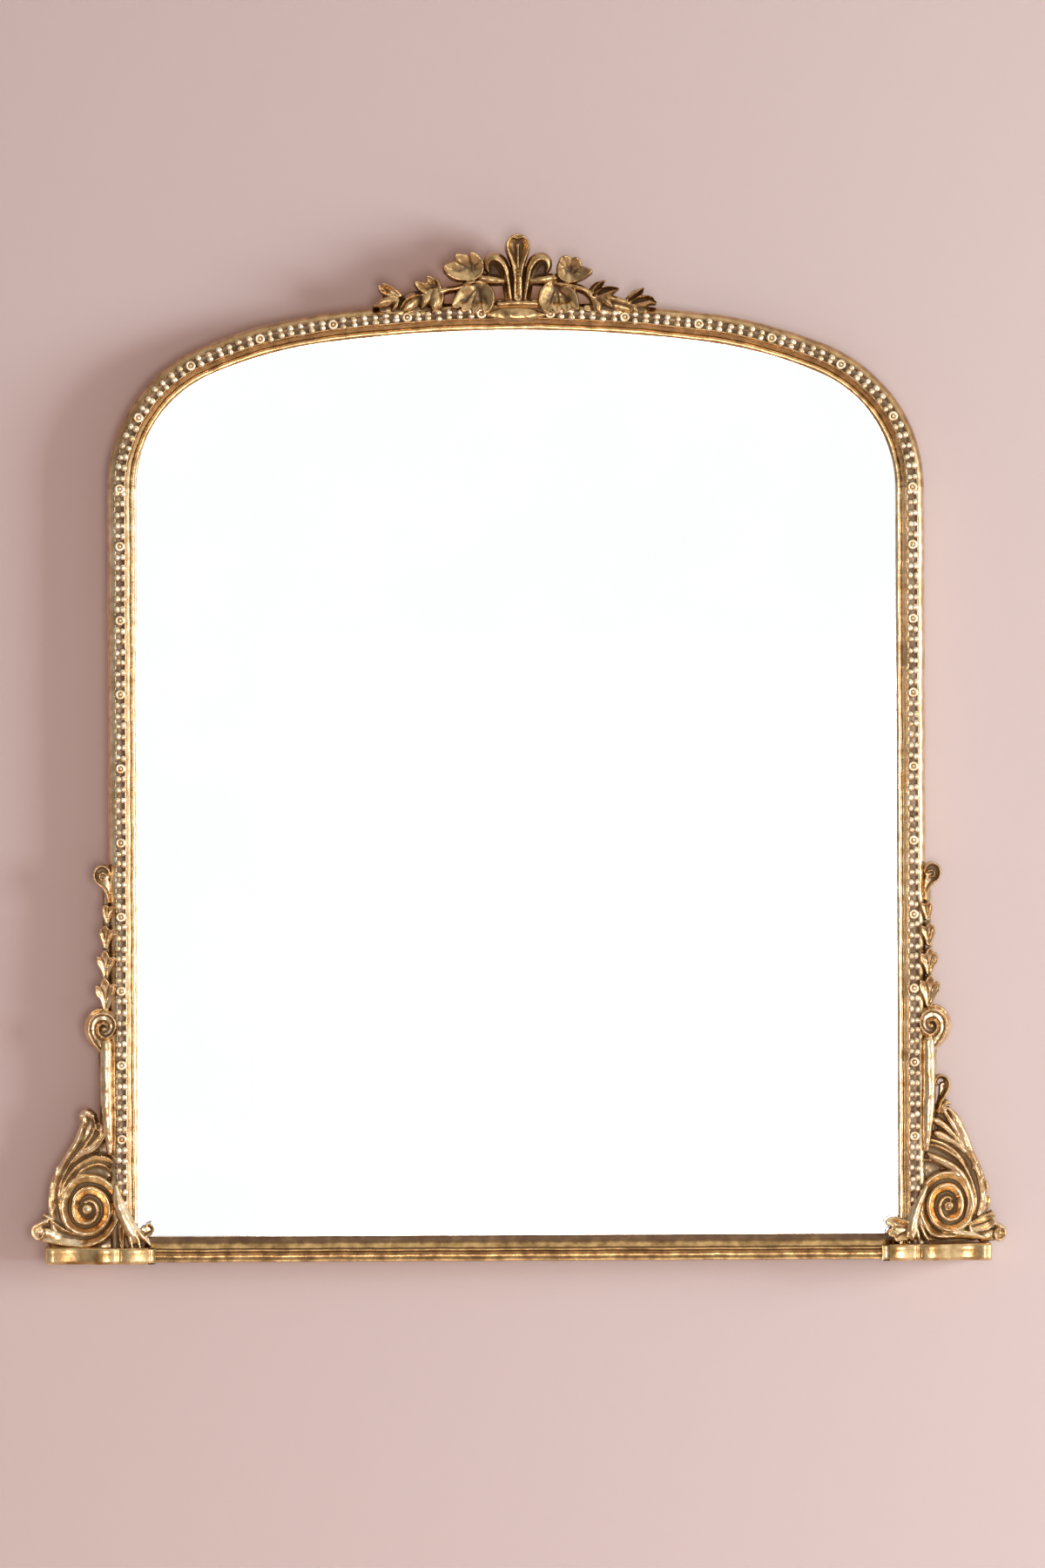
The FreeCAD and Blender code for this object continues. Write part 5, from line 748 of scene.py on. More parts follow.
@dataclass
class Carving:
    """A low relief cut from strokes and leaves, kept as a sheet of heights over a fine grid."""

    strokes: Sequence
    step: float = 0.5
    seed: int = 1
    tool_marks: float = 0.16
    across: np.ndarray = field(init=False)
    up: np.ndarray = field(init=False)
    rise: np.ndarray = field(init=False)
    inside: np.ndarray = field(init=False)

    def __post_init__(self) -> None:
        """Cuts every stroke and leaf into the sheet."""
        spots = []
        for item in self.strokes:
            for rows in (item.lobes if isinstance(item, Leaf) else (item.rows,)):
                table = spline(rows, 1.0)
                reach = table[:, 2] if isinstance(item, Leaf) else table[:, 2:4].max(1)
                spots += [table[:, :2] - reach[:, None], table[:, :2] + reach[:, None]]
        spots = np.vstack(spots)
        low, high = spots.min(0) - 2, spots.max(0) + 2
        self.across, self.up = np.meshgrid(np.arange(low[0], high[0], self.step), np.arange(low[1], high[1], self.step))
        self.rise = np.zeros_like(self.across)
        self.inside = np.full_like(self.across, -99.0)
        for item in self.strokes:
            (self._leaf if isinstance(item, Leaf) else self._stroke)(item)
        noise = blurred(np.random.default_rng(self.seed).normal(size=self.rise.shape), 24)
        self.rise += noise / noise.std() * self.tool_marks * (self.inside > 0.8)

    def _window(self, low: np.ndarray, high: np.ndarray) -> tuple:
        """Slices of the sheet that cover a box."""
        cols = np.searchsorted(self.across[0], [low[0], high[0]])
        rows = np.searchsorted(self.up[:, 0], [low[1], high[1]])
        return slice(rows[0], rows[1]), slice(cols[0], cols[1])

    def _stroke(self, item: Stroke) -> None:
        """Cuts one ridge."""
        line = spline(item.rows, self.step * 0.7)
        reach = line[:, 2:4].max() + 1.5
        spot = self._window(line[:, :2].min(0) - reach, line[:, :2].max(0) + reach)
        x, z = self.across[spot], self.up[spot]
        best, near = np.full(x.shape, 1e9), np.zeros(x.shape, int)
        for i, row in enumerate(line):
            away = (x - row[0]) ** 2 + (z - row[1]) ** 2
            closer = away < best
            best[closer], near[closer] = away[closer], i
        away = np.sqrt(best)
        side = np.ones_like(x)
        if len(line) > 1:
            run = np.gradient(line[:, :2], axis=0)
            side = run[near, 0] * (z - line[near, 1]) - run[near, 1] * (x - line[near, 0])
        width = np.where(side >= 0, line[near, 2], line[near, 3])
        share = away / np.maximum(width, 1e-6)
        shape = np.where(side >= 0, section_height(item.left, share), section_height(item.right, share))
        height = np.where(share < 1, item.foot + (line[near, 4] - item.foot) * shape, 0)
        self.rise[spot] = np.maximum(self.rise[spot], height)
        self.inside[spot] = np.maximum(self.inside[spot], width - away)

    def _leaf(self, item: Leaf) -> None:
        """Cuts one dished leaf, its lobes merged under one rim."""
        every = np.vstack([spline(rows, 1.0) for rows in item.lobes])
        reach = every[:, 2].max() + 1.5
        spot = self._window(every[:, :2].min(0) - reach, every[:, :2].max(0) + reach)
        x, z = self.across[spot], self.up[spot]
        total, top = np.full(x.shape, 1e-30), np.zeros(x.shape)
        first, second = np.full(x.shape, -99.0), np.full(x.shape, -99.0)
        for rows in item.lobes:
            best, height = np.full(x.shape, -99.0), np.zeros(x.shape)
            for row in spline(rows, self.step * 0.7):
                edge = row[2] - np.hypot(x - row[0], z - row[1])
                closer = edge > best
                best[closer], height[closer] = edge[closer], row[3]
            weight = np.exp(np.clip(best / item.soft, -60, 60))
            total += weight
            top += weight * height
            second = np.maximum(second, np.minimum(first, best))
            first = np.maximum(first, best)
        edge, top = item.soft * np.log(total), top / total
        inside = edge > 0
        border = inside & ~(np.roll(inside, 1, 0) & np.roll(inside, -1, 0)
                            & np.roll(inside, 1, 1) & np.roll(inside, -1, 1))
        near = np.full(int(inside.sum()), 1e9)
        for spot_x, spot_z in zip(x[border], z[border]):
            near = np.minimum(near, (x[inside] - spot_x) ** 2 + (z[inside] - spot_z) ** 2)
        deep = np.zeros_like(x)
        deep[inside] = np.sqrt(near) + 0.3 * self.step
        lip = np.sqrt(np.clip(1 - (1 - np.clip(deep / item.rim, 0, 1)) ** 2, 0, 1))
        bowl = 1 - item.depth * (1 - np.exp(-(np.clip(deep - item.rim, 0, None) / item.run) ** 2))
        crease = item.groove * np.exp(-((first - second) / 1.2) ** 2) * np.clip(deep / 3, 0, 1)
        height = np.where(inside, item.foot + (top - item.foot) * np.where(deep < item.rim, lip, bowl) - crease, 0)
        self.rise[spot] = np.maximum(self.rise[spot], height)
        self.inside[spot] = np.maximum(self.inside[spot], edge)

    def piece(self, name: str, seat: float, back: float, materials: Sequence, nodes: Sequence[str],
              side: Optional[Side] = None, level: Optional[float] = None, inset: float = 0.0,
              dull: float = 0.0, wide: int = 30) -> bpy.types.Object:
        """Turns the sheet into a solid piece.

        Args:
            name: object name.
            seat: ground of the relief, forward from the frame's back.
            back: flat back of the piece, forward from the frame's back.
            materials: face and back materials.
            nodes: CAD nodes that it stands for.
            side: side whose stile edge the table measures from, or none for the crest.
            level: even height instead of the carved one.
            inset: how far the outline is drawn in.
            dull: added to the depth of every vertex, which deepens its wash and painted shade.
            wide: softening passes that set how broad a recess counts as deep.

        Returns:
            The new object.
        """
        edge = self.inside - inset
        rise = blurred(np.where(edge > -self.step, self.rise, 0), 1)
        # Depth in a recess, plus dull and more for the low ground: it sets how much wash and painted shade each point
        # takes.
        depth = (np.clip((blurred(rise, wide) - rise) / 2.0 + (blurred(rise, 6) - rise) / 1.2, -1, 1)
                 + dull + 0.5 * (rise < 3.2))
        if level is not None:
            rise = np.where(edge > 0, level, level - 0.6)
            depth = np.full_like(rise, dull)
        kept = edge > -0.5 * self.step
        corners = np.stack([kept[:-1, :-1], kept[:-1, 1:], kept[1:, 1:], kept[1:, :-1]], -1)
        count = corners.sum(-1)
        index = np.arange(kept.size).reshape(kept.shape)
        ring = np.stack([index[:-1, :-1], index[:-1, 1:], index[1:, 1:], index[1:, :-1]], -1)
        cells = [tuple(c) for c in ring[count == 4]]
        cells += [tuple(i for i, k in zip(c, m) if k) for c, m in zip(ring[count == 3], corners[count == 3])]
        links: dict = {}
        for cell in cells:
            for a, b in zip(cell, cell[1:] + cell[:1]):
                links[(a, b)] = links.get((a, b), 0) + 1
        rim = [(a, b) for a, b in links if (b, a) not in links]
        slope_z, slope_x = np.gradient(edge, self.step)
        steep = np.maximum(slope_x**2 + slope_z**2, 0.25)
        snap = np.zeros(kept.size, bool)
        snap[np.array(rim).ravel()] = True
        move = np.where(snap.reshape(kept.shape), np.clip(edge / steep, -self.step, self.step), 0)
        across, up = self.across - move * slope_x, self.up - move * slope_z
        used = np.unique(np.array([i for cell in cells for i in cell]))
        renumber = np.full(kept.size, -1)
        renumber[used] = np.arange(len(used))
        x, z = across.ravel()[used], up.ravel()[used]
        if side is not None:
            x = side.value * (STILE_EDGE + x)
        front = np.column_stack([x, -(WALL_GAP + seat + rise.ravel()[used]), z - BASE]) * MM
        rear = front.copy()
        rear[:, 1] = -(WALL_GAP + back) * MM
        total = len(used)
        faces = [tuple(int(renumber[i]) for i in cell) for cell in cells]
        walls = [(int(renumber[b]), int(renumber[a]), int(renumber[a]) + total, int(renumber[b]) + total)
                 for a, b in rim]
        faces += [tuple(i + total for i in reversed(cell)) for cell in faces] + walls
        if side is Side.LEFT:
            faces = [tuple(reversed(cell)) for cell in faces]
        tint = np.concatenate([depth.ravel()[used], np.full(total, 0.4)])
        return add_piece(name, np.vstack([front, rear]), faces, materials, nodes, hollow=tint, sharp=55.0,
                         back=-(WALL_GAP + back + 0.5) * MM)


def wander(along: np.ndarray, seed: int) -> np.ndarray:
    """Slight unevenness of a hand-run moulding, in millimetres, along its length in millimetres."""
    rng = np.random.default_rng(seed)
    turns = rng.uniform(0, 2 * math.pi, 4)
    return sum(size * np.sin(2 * math.pi * along / wave + turn)
               for size, wave, turn in zip((0.22, 0.12, 0.07, 0.05), (83.0, 31.0, 13.0, 7.0), turns))


def swept(line: np.ndarray, outward: np.ndarray, section: np.ndarray, seed: int) -> tuple:
    """Runs a closed moulding section along a line in the plane of the wall.

    Args:
        line: places (x, up) of the section's origin, in millimetres.
        outward: unit vectors of the section's first axis at each place.
        section: rows of (out, forward, hollow) round the section.
        seed: seed of the unevenness.

    Returns:
        Points in metres, faces and the hollow of each point.
    """
    along = np.concatenate([[0], np.cumsum(np.hypot(*np.diff(line, axis=0).T))])
    shift, lift = wander(along, seed), wander(along, seed + 50)
    count, sides = len(line), len(section)
    shown = np.clip((section[:, 1] - 15.2) / 3, 0, 1)
    out = section[None, :, 0] + shift[:, None] * shown[None, :] * (section[None, :, 0] > 0.2)
    forward = section[None, :, 1] + lift[:, None] * shown[None, :]
    points = np.empty((count, sides, 3))
    points[..., 0] = line[:, None, 0] + outward[:, None, 0] * out
    points[..., 1] = -(WALL_GAP + forward)
    points[..., 2] = line[:, None, 1] + outward[:, None, 1] * out - BASE
    faces = [(i * sides + j, i * sides + (j + 1) % sides, (i + 1) * sides + (j + 1) % sides, (i + 1) * sides + j)
             for i in range(count - 1) for j in range(sides)]
    faces += [tuple(range(sides))[::-1], tuple(range((count - 1) * sides, count * sides))]
    return points.reshape(-1, 3) * MM, faces, np.tile(section[:, 2], count)


def faced_out(points: np.ndarray, faces: list) -> list:
    """Turns every face round if the closed shell encloses a negative volume."""
    volume = 0.0
    for face in faces:
        a = points[face[0]]
        for i, j in zip(face[1:], face[2:]):
            volume += float(np.dot(a, np.cross(points[i], points[j])))
    return [tuple(reversed(face)) for face in faces] if volume < 0 else faces


@dataclass
class FrameMoulding:
    """Arch and stiles: lip, cove, bead ground and rounded outer band, run along a five-arc head."""

    finishes: Finishes
    half_width: float = 337.0
    spring: float = 688.0
    foot_top: float = 17.5
    crown_radius: float = 1326.0
    crown_angle: float = 7.3
    shoulder_radius: float = 111.0
    shoulder_angle: float = 23.5
    wing_top: float = 345.0

    def section(self) -> np.ndarray:
        """Rows of (out, forward, hollow) round the moulding; hollow darkens the quirks and the bead ground with painted
        shade.
        """
        rows = [(0, 15, 0.2), (0, 18.4, 0.0), (0.3, 19.1, -0.3), (1.0, 19.6, -0.5), (2.6, 19.9, -0.5),
                (4.1, 19.8, -0.4), (4.6, 19.4, 0.2), (5.0, 18.9, 0.9), (5.5, 19.3, 0.6)]
        rows += [(5.7 + 3.6 * t + 0.7 * math.sin(math.pi * t), 20.0 + 6.6 * t - 0.5 * math.sin(math.pi * t),
                  0.1 - 0.35 * t)
                 for t in np.linspace(0, 1, 8)]
        rows += [(9.6, 27.0, -0.6), (10.0, 27.05, -0.4), (10.3, 26.7, 0.4), (10.7, 26.4, 0.75), (14.2, 26.3, 0.7),
                 (17.8, 26.4, 0.75), (18.2, 26.7, 0.5), (18.5, 27.0, -0.2), (18.8, 26.9, 0.0),
                 (19.05, 26.3, 0.7), (19.4, 26.5, 0.3)]
        steep, flat = math.radians(80), math.radians(12)
        for turn in np.linspace(steep, flat, 10):
            out = (math.cos(turn) - math.cos(steep)) / (math.cos(flat) - math.cos(steep))
            drop = (math.sin(steep) - math.sin(turn)) / (math.sin(steep) - math.sin(flat))
            rows.append((19.4 + 6.1 * out, 26.5 - 9.0 * drop, -0.3 + 0.2 * drop))
        rows += [(25.5, 16.0, 0.1), (25.5, 8.0, 0.4), (25.5, 0, 0.5), (8, 0, 0.5), (8, 15, 0.3)]
        return np.array(rows)

    def head(self, offset: float = 0.0, gap: float = 3.0) -> tuple:
        """Line of the arch.

        Args:
            offset: distance outward from the sight edge.
            gap: spacing of the places.

        Returns:
            Places from the left springing to the right one, and unit vectors outward.
        """
        s, c = math.radians(self.shoulder_angle), math.radians(self.crown_angle)
        shoulder = np.array([self.half_width - self.shoulder_radius, self.spring])
        haunch_radius = (shoulder[0] + self.shoulder_radius * math.sin(s) - self.crown_radius * math.sin(c)) / (
            math.sin(s) - math.sin(c))
        haunch = shoulder - (haunch_radius - self.shoulder_radius) * np.array([math.sin(s), math.cos(s)])
        crown = haunch - (self.crown_radius - haunch_radius) * np.array([math.sin(c), math.cos(c)])
        places, outward = [], []
        arcs = ((shoulder, self.shoulder_radius, math.pi / 2, s), (haunch, haunch_radius, s, c),
                (crown, self.crown_radius, c, 0.0))
        for centre, radius, start, end in arcs:
            count = max(6, int(radius * (start - end) / gap))
            for angle in np.linspace(start, end, count, endpoint=False):
                normal = np.array([math.sin(angle), math.cos(angle)])
                places.append(centre + (radius + offset) * normal)
                outward.append(normal)
        right, normals = np.array(places), np.array(outward)
        top = np.array([[0.0, crown[1] + self.crown_radius + offset]])
        flip = np.array([-1.0, 1.0])
        line = np.vstack([right * flip, top, right[::-1]])
        return line, np.vstack([normals * flip, [[0.0, 1.0]], normals[::-1]])

    def stile(self, side: Side, low: float, high: float, offset: float = 0.0, gap: float = 4.0) -> tuple:
        """Line of a stile from low to high, and its unit vectors outward."""
        ups = np.linspace(low, high, max(2, int((high - low) / gap)))
        line = np.column_stack([np.full(len(ups), side.value * (self.half_width + offset)), ups])
        return line, np.tile([float(side.value), 0.0], (len(ups), 1))

    def build(self) -> None:
        """Makes the arch and both stiles."""
        section = self.section()
        timber = self.finishes[Finish.TIMBER]
        line, outward = self.head()
        points, faces, hollow = swept(line, outward, section, 11)
        add_piece("arch_moulding_gilt", points, faced_out(points, faces), (self.finishes[Finish.GILT_ARCH], timber),
                  ("arch_moulding",), hollow=hollow, sharp=60, back=-22 * MM)
        for side in Side:
            line, outward = self.stile(side, self.foot_top, self.spring)
            points, faces, hollow = swept(line, outward, section, 20 + side.value)
            # Below the wing top the outer band and side are darkened: painted shade where the side carvings stand
            # beside them.
            low = np.clip((self.wing_top - np.repeat(line[:, 1], len(section))) / 30, 0, 1)
            hollow = hollow + 0.6 * low * np.tile(section[:, 0] > 18.4, len(line))
            name = f"{side.name.lower()}_stile"
            add_piece(name + "_gilt", points, faced_out(points, faces), (self.finishes[Finish.GILT_STILE], timber),
                      (name,), hollow=hollow, sharp=60, back=-22 * MM)


@dataclass
class BottomRail:
    """Base rail: lip, flat fascia, bead between quirks, and a cove under the glass."""

    finishes: Finishes
    half_length: float = 337.0

    def build(self) -> None:
        """Makes the rail."""
        # Rows are (forward, up, hollow); hollow darkens the quirks and the cove under the glass, most at its top, as
        # painted shade.
        rows = [(0, 4.2, 0.5), (31.6, 4.0, 0.3), (32.4, 4.2, -0.2), (33.0, 4.7, -0.6), (33.0, 5.5, -0.6),
                (32.5, 6.0, 0.1)]
        rows += [(32.3 - 0.8 * math.sin(math.pi * t), 6.3 + 6.0 * t, 0.5 - 0.25 * t) for t in np.linspace(0, 1, 7)]
        rows += [(31.6, 12.5, 0.9), (31.5, 12.9, 0.8)]
        rows += [(31.9 + 1.1 * math.sin(math.pi * t), 13.1 + 1.8 * t, -0.7) for t in np.linspace(0, 1, 6)]
        rows += [(31.4, 15.1, 0.6), (26.4, 15.3, 0.9), (26.0, 15.6, 0.7)]
        rows += [(26.2 - 3.4 * t - 1.3 * math.sin(math.pi * t), 15.9 + 9.3 * t, min(0.85, 2.4 * t - 0.6))
                 for t in np.linspace(0, 1, 10)]
        rows += [(22.4, 25.6, 0.6), (21.6, 26.0, 0.4), (15, 26, 0.2), (15, 18, 0.3), (0, 18, 0.5)]
        rows = np.array(rows)
        along = np.linspace(-self.half_length, self.half_length, 170)
        shift = wander(along, 31)
        shown = np.clip((rows[:, 0] - 15.5) / 3, 0, 1)
        points = np.empty((len(along), len(rows), 3))
        points[..., 0] = along[:, None]
        points[..., 1] = -(WALL_GAP + rows[None, :, 0] + 0.6 * shift[:, None] * shown)
        points[..., 2] = rows[None, :, 1] + 0.5 * wander(along, 32)[:, None] * shown * (rows[None, :, 1] > 1) - BASE
        count, sides = len(along), len(rows)
        faces = [(i * sides + j, i * sides + (j + 1) % sides, (i + 1) * sides + (j + 1) % sides, (i + 1) * sides + j)
                 for i in range(count - 1) for j in range(sides)]
        faces += [tuple(range(sides))[::-1], tuple(range((count - 1) * sides, count * sides))]
        points = points.reshape(-1, 3) * MM
        add_piece("bottom_rail_gilt", points, faced_out(points, faces),
                  (self.finishes[Finish.GILT_RAIL], self.finishes[Finish.TIMBER]),
                  ("bottom_rail",), hollow=np.tile(rows[:, 2], count), sharp=60, back=-22 * MM)


@dataclass
class FootBlock:
    """Serpentine corner block under a stile, with softened arrises."""

    finishes: Finishes
    side: Side
    height: float = 17.5
    depth: float = 46.0
    overhang: float = 56.0
    length: float = 97.5
    notch: float = 33.1
    lobes: tuple = (((0.015, 0.93), (0.075, 0.96)), ((0.24, 0.88), (0.42, 0.955)), ((0.53, 1.00), (0.635, 0.955)),
                    ((0.665, 0.91), (0.695, 0.955)), ((0.815, 1.00), (0.935, 0.955)), ((0.955, 0.92), (1.00, 0.93)))
    # Levels are (up, inset, hollow); hollow sets a little wash and painted shade on the faces and keeps the softened
    # arrises free of it.
    levels: tuple = ((3.2, 1.4, 0.2), (3.6, 0.5, -0.4), (4.3, 0.0, -0.5), (7.0, 0.25, 0.1), (10.0, 0.4, 0.15),
                     (13.0, 0.25, 0.1), (16.2, 0.0, -0.5), (17.1, 0.5, -0.4), (17.5, 1.4, 0.2))

    def plan(self) -> np.ndarray:
        """Closed plan outline as (in from the outer end, forward)."""
        rows = [(25.5 + self.overhang, 0.0), (40.0, 0.0), (0.0, 0.0)]
        rows += [(0.0, f) for f in np.linspace(0.12, 0.80, 8) * self.depth]
        at = np.array([0.0, 0.82])
        for through, end in self.lobes:
            through, end = np.array(through), np.array(end)
            control = 2 * through - (at + end) / 2
            for t in np.linspace(0, 1, 12, endpoint=False):
                spot = (1 - t) ** 2 * at + 2 * t * (1 - t) * control + t**2 * end
                rows.append((spot[0] * self.length, spot[1] * self.depth))
            at = end
        rows += [(self.length, 0.93 * self.depth), (self.length, self.notch), (25.5 + self.overhang - 0.1, self.notch)]
        return np.array(rows)

    def build(self) -> None:
        """Makes the block."""
        plan = self.plan()
        before, after = np.roll(plan, 1, 0), np.roll(plan, -1, 0)
        run = after - before
        run /= np.linalg.norm(run, axis=1)[:, None] + 1e-9
        inward = np.column_stack([run[:, 1], -run[:, 0]])
        wavy = wander(plan[:, 0] * 1.3, 41 + self.side.value)
        free = (plan[:, 1] > self.notch + 1)[:, None]
        points, hollow = [], []
        for up, inset, depth in self.levels:
            row = plan + inward * inset * free
            lift = 0.35 * wavy * (self.levels[0][0] < up < self.height) * free[:, 0]
            x = self.side.value * (STILE_EDGE + self.overhang - row[:, 0])
            points.append(np.column_stack([x, -(WALL_GAP + row[:, 1]), up + lift - BASE]))
            hollow.append(np.full(len(plan), depth))
        sides, count = len(plan), len(self.levels)
        points = np.vstack(points) * MM
        faces = [(i * sides + j, i * sides + (j + 1) % sides, (i + 1) * sides + (j + 1) % sides, (i + 1) * sides + j)
                 for i in range(count - 1) for j in range(sides)]
        faces += [tuple(range(sides))[::-1], tuple(range((count - 1) * sides, count * sides))]
        name = f"{self.side.name.lower()}_corner_block"
        add_piece(name + "_gilt", points, faced_out(points, faces),
                  (self.finishes[Finish.GILT_BLOCK], self.finishes[Finish.TIMBER]),
                  (name,), hollow=np.concatenate(hollow), sharp=48, back=-9 * MM)


@dataclass
class PearlStrings:
    """Courses of two pearls with an oval boss at every seventh place, on the bead ground."""

    finishes: Finishes
    moulding: FrameMoulding
    bottom: float = 47.0
    gap_at_tablet: float = 29.0
    ground_out: float = 14.25
    ground_forward: float = 27.7
    pitch: float = 9.3
    pearl: float = 3.1
    spread: float = 2.35
    boss_every: int = 7
    seed: int = 7

    def tree(self) -> bpy.types.NodeTree:
        """Builds the node tree that sets the courses along a line and returns it."""
        tree = bpy.data.node_groups.new("pearl_courses", "GeometryNodeTree")
        face = tree.interface
        face.new_socket("Line", in_out="INPUT", socket_type="NodeSocketGeometry")
        for name, kind in (("Pitch", "NodeSocketFloat"), ("Pearl Radius", "NodeSocketFloat"),
                           ("Spread", "NodeSocketFloat"), ("Boss Every", "NodeSocketInt"), ("Seed", "NodeSocketInt"),
                           ("Gilt", "NodeSocketMaterial")):
            face.new_socket(name, in_out="INPUT", socket_type=kind)
        face.new_socket("Pearls", in_out="OUTPUT", socket_type="NodeSocketGeometry")
        given = add_node(tree, "NodeGroupInput").outputs
        curve = add_node(tree, "GeometryNodeMeshToCurve", {0: given["Line"]})
        spots = add_node(tree, "GeometryNodeResampleCurve", {"Curve": curve.outputs[0], "Length": given["Pitch"]},
                         mode="LENGTH")
        tangent = add_node(tree, "GeometryNodeInputTangent").outputs[0]
        across = add_node(tree, "ShaderNodeVectorMath", {0: tangent, 1: (0.0, 1.0, 0.0)}, operation="CROSS_PRODUCT")
        aside = add_node(tree, "ShaderNodeVectorMath", {0: across.outputs[0], "Scale": given["Spread"]},
                         operation="SCALE")
        index = add_node(tree, "GeometryNodeInputIndex").outputs[0]
        left_over = add_node(tree, "ShaderNodeMath", {0: index, 1: given["Boss Every"]}, operation="FLOORED_MODULO")
        boss = add_node(tree, "ShaderNodeMath", {0: left_over.outputs[0], 1: 0.5}, operation="LESS_THAN")
        plain = add_node(tree, "ShaderNodeMath", {0: 1.0, 1: boss.outputs[0]}, operation="SUBTRACT")
        ball = add_node(tree, "GeometryNodeMeshIcoSphere", {"Radius": given["Pearl Radius"], "Subdivisions": 2})
        turn = add_node(tree, "FunctionNodeAlignRotationToVector", {"Vector": tangent}, axis="Z")
        joined = add_node(tree, "GeometryNodeJoinGeometry")
        for sign in (1.0, -1.0):
            offset = add_node(tree, "ShaderNodeVectorMath", {0: aside.outputs[0], "Scale": sign}, operation="SCALE")
            jitter = add_node(tree, "FunctionNodeRandomValue",
                              {0: (-0.0005, -0.0002, -0.0008), 1: (0.0005, 0.0002, 0.0008), "Seed": 11 + int(sign),
                               "ID": index},
                              data_type="FLOAT_VECTOR")
            moved = add_node(tree, "ShaderNodeVectorMath", {0: offset.outputs[0], 1: jitter.outputs[0]})
            placed = add_node(tree, "GeometryNodeSetPosition",
                              {"Geometry": spots.outputs[0], "Offset": moved.outputs[0]})
            scale = add_node(tree, "FunctionNodeRandomValue",
                             {0: (0.82, 0.44, 0.82), 1: (1.04, 0.6, 1.1), "Seed": 3 + int(sign), "ID": index},
                             data_type="FLOAT_VECTOR")
            pearls = add_node(tree, "GeometryNodeInstanceOnPoints",
                              {"Points": placed.outputs[0], "Selection": plain.outputs[0], "Instance": ball.outputs[0],
                               "Rotation": turn.outputs[0], "Scale": scale.outputs[0]})
            tree.links.new(pearls.outputs[0], joined.inputs[0])
        loop = add_node(tree, "GeometryNodeCurvePrimitiveCircle", {"Resolution": 14, "Radius": 1.0})
        wire = add_node(tree, "GeometryNodeCurvePrimitiveCircle", {"Resolution": 7, "Radius": 0.46})
        ring = add_node(tree, "GeometryNodeCurveToMesh", {"Curve": loop.outputs[0], "Profile Curve": wire.outputs[0]})
        size = add_node(tree, "ShaderNodeMath", {0: given["Pearl Radius"], 1: 1.05}, operation="MULTIPLY")
        ring = add_node(tree, "GeometryNodeTransform", {"Geometry": ring.outputs[0],
                                                        "Rotation": (math.pi / 2, 0.0, 0.0),
                                                        "Scale": size.outputs[0]})
        heart = add_node(tree, "GeometryNodeTransform", {"Geometry": ball.outputs[0], "Scale": (0.55, 0.6, 0.55)})
        oval = add_node(tree, "GeometryNodeJoinGeometry")
        for part in (heart, ring):
            tree.links.new(part.outputs[0], oval.inputs[0])
        bosses = add_node(tree, "GeometryNodeInstanceOnPoints",
                          {"Points": spots.outputs[0], "Selection": boss.outputs[0], "Instance": oval.outputs[0],
                           "Rotation": turn.outputs[0]})
        tree.links.new(bosses.outputs[0], joined.inputs[0])
        real = add_node(tree, "GeometryNodeRealizeInstances", {0: joined.outputs[0]})
        smooth = add_node(tree, "GeometryNodeSetShadeSmooth", {0: real.outputs[0]})
        dressed = add_node(tree, "GeometryNodeSetMaterial", {"Geometry": smooth.outputs[0], "Material": given["Gilt"]})
        add_node(tree, "NodeGroupOutput", {0: dressed.outputs[0]})
        return tree

    def string(self, tree: bpy.types.NodeTree, name: str, line: np.ndarray, node: str) -> None:
        """Makes one string of pearls along a line.

        Args:
            tree: the courses' node tree.
            name: object name.
            line: places (x, up) in millimetres.
            node: CAD node that it stands for.
        """
        mesh = bpy.data.meshes.new(name + "_line")
        places = [(x * MM, -(WALL_GAP + self.ground_forward) * MM, (z - BASE) * MM) for x, z in line]
        mesh.from_pydata(places, [(i, i + 1) for i in range(len(places) - 1)], [])
        carrier = bpy.data.objects.new(name + "_line", mesh)
        bpy.context.collection.objects.link(carrier)
        modifier = carrier.modifiers.new("courses", "NODES")
        modifier.node_group = tree
        wanted = {"Pitch": self.pitch * MM, "Pearl Radius": self.pearl * MM, "Spread": self.spread * MM,
                  "Boss Every": self.boss_every, "Seed": self.seed, "Gilt": self.finishes[Finish.PEARL]}
        for item in tree.interface.items_tree:
            if item.in_out == "INPUT" and item.name in wanted:
                modifier[item.identifier] = wanted[item.name]
        graph = bpy.context.evaluated_depsgraph_get()
        pearls = bpy.data.meshes.new_from_object(carrier.evaluated_get(graph))
        bpy.data.objects.remove(carrier)
        thing = bpy.data.objects.new(name, pearls)
        bpy.context.collection.objects.link(thing)
        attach(thing, BODY)
        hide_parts(node)
        LOG.info("%s: %d faces", name, len(pearls.polygons))

    def build(self) -> None:
        """Makes the four strings."""
        tree = self.tree()
        head, _ = self.moulding.head(self.ground_out)
        for side in Side:
            word = side.name.lower()
            line, _ = self.moulding.stile(side, self.bottom, self.moulding.spring - 4.0, self.ground_out)
            self.string(tree, f"pearls_{word}", line, f"bead_string_{word}")
            half = head[head[:, 0] * side.value > self.gap_at_tablet]
            half = half[np.argsort(-np.abs(half[:, 0]))] if side is Side.RIGHT else half[np.argsort(half[:, 0])]
            self.string(tree, f"pearls_arch_{word}", half, f"bead_string_arch_{word}")


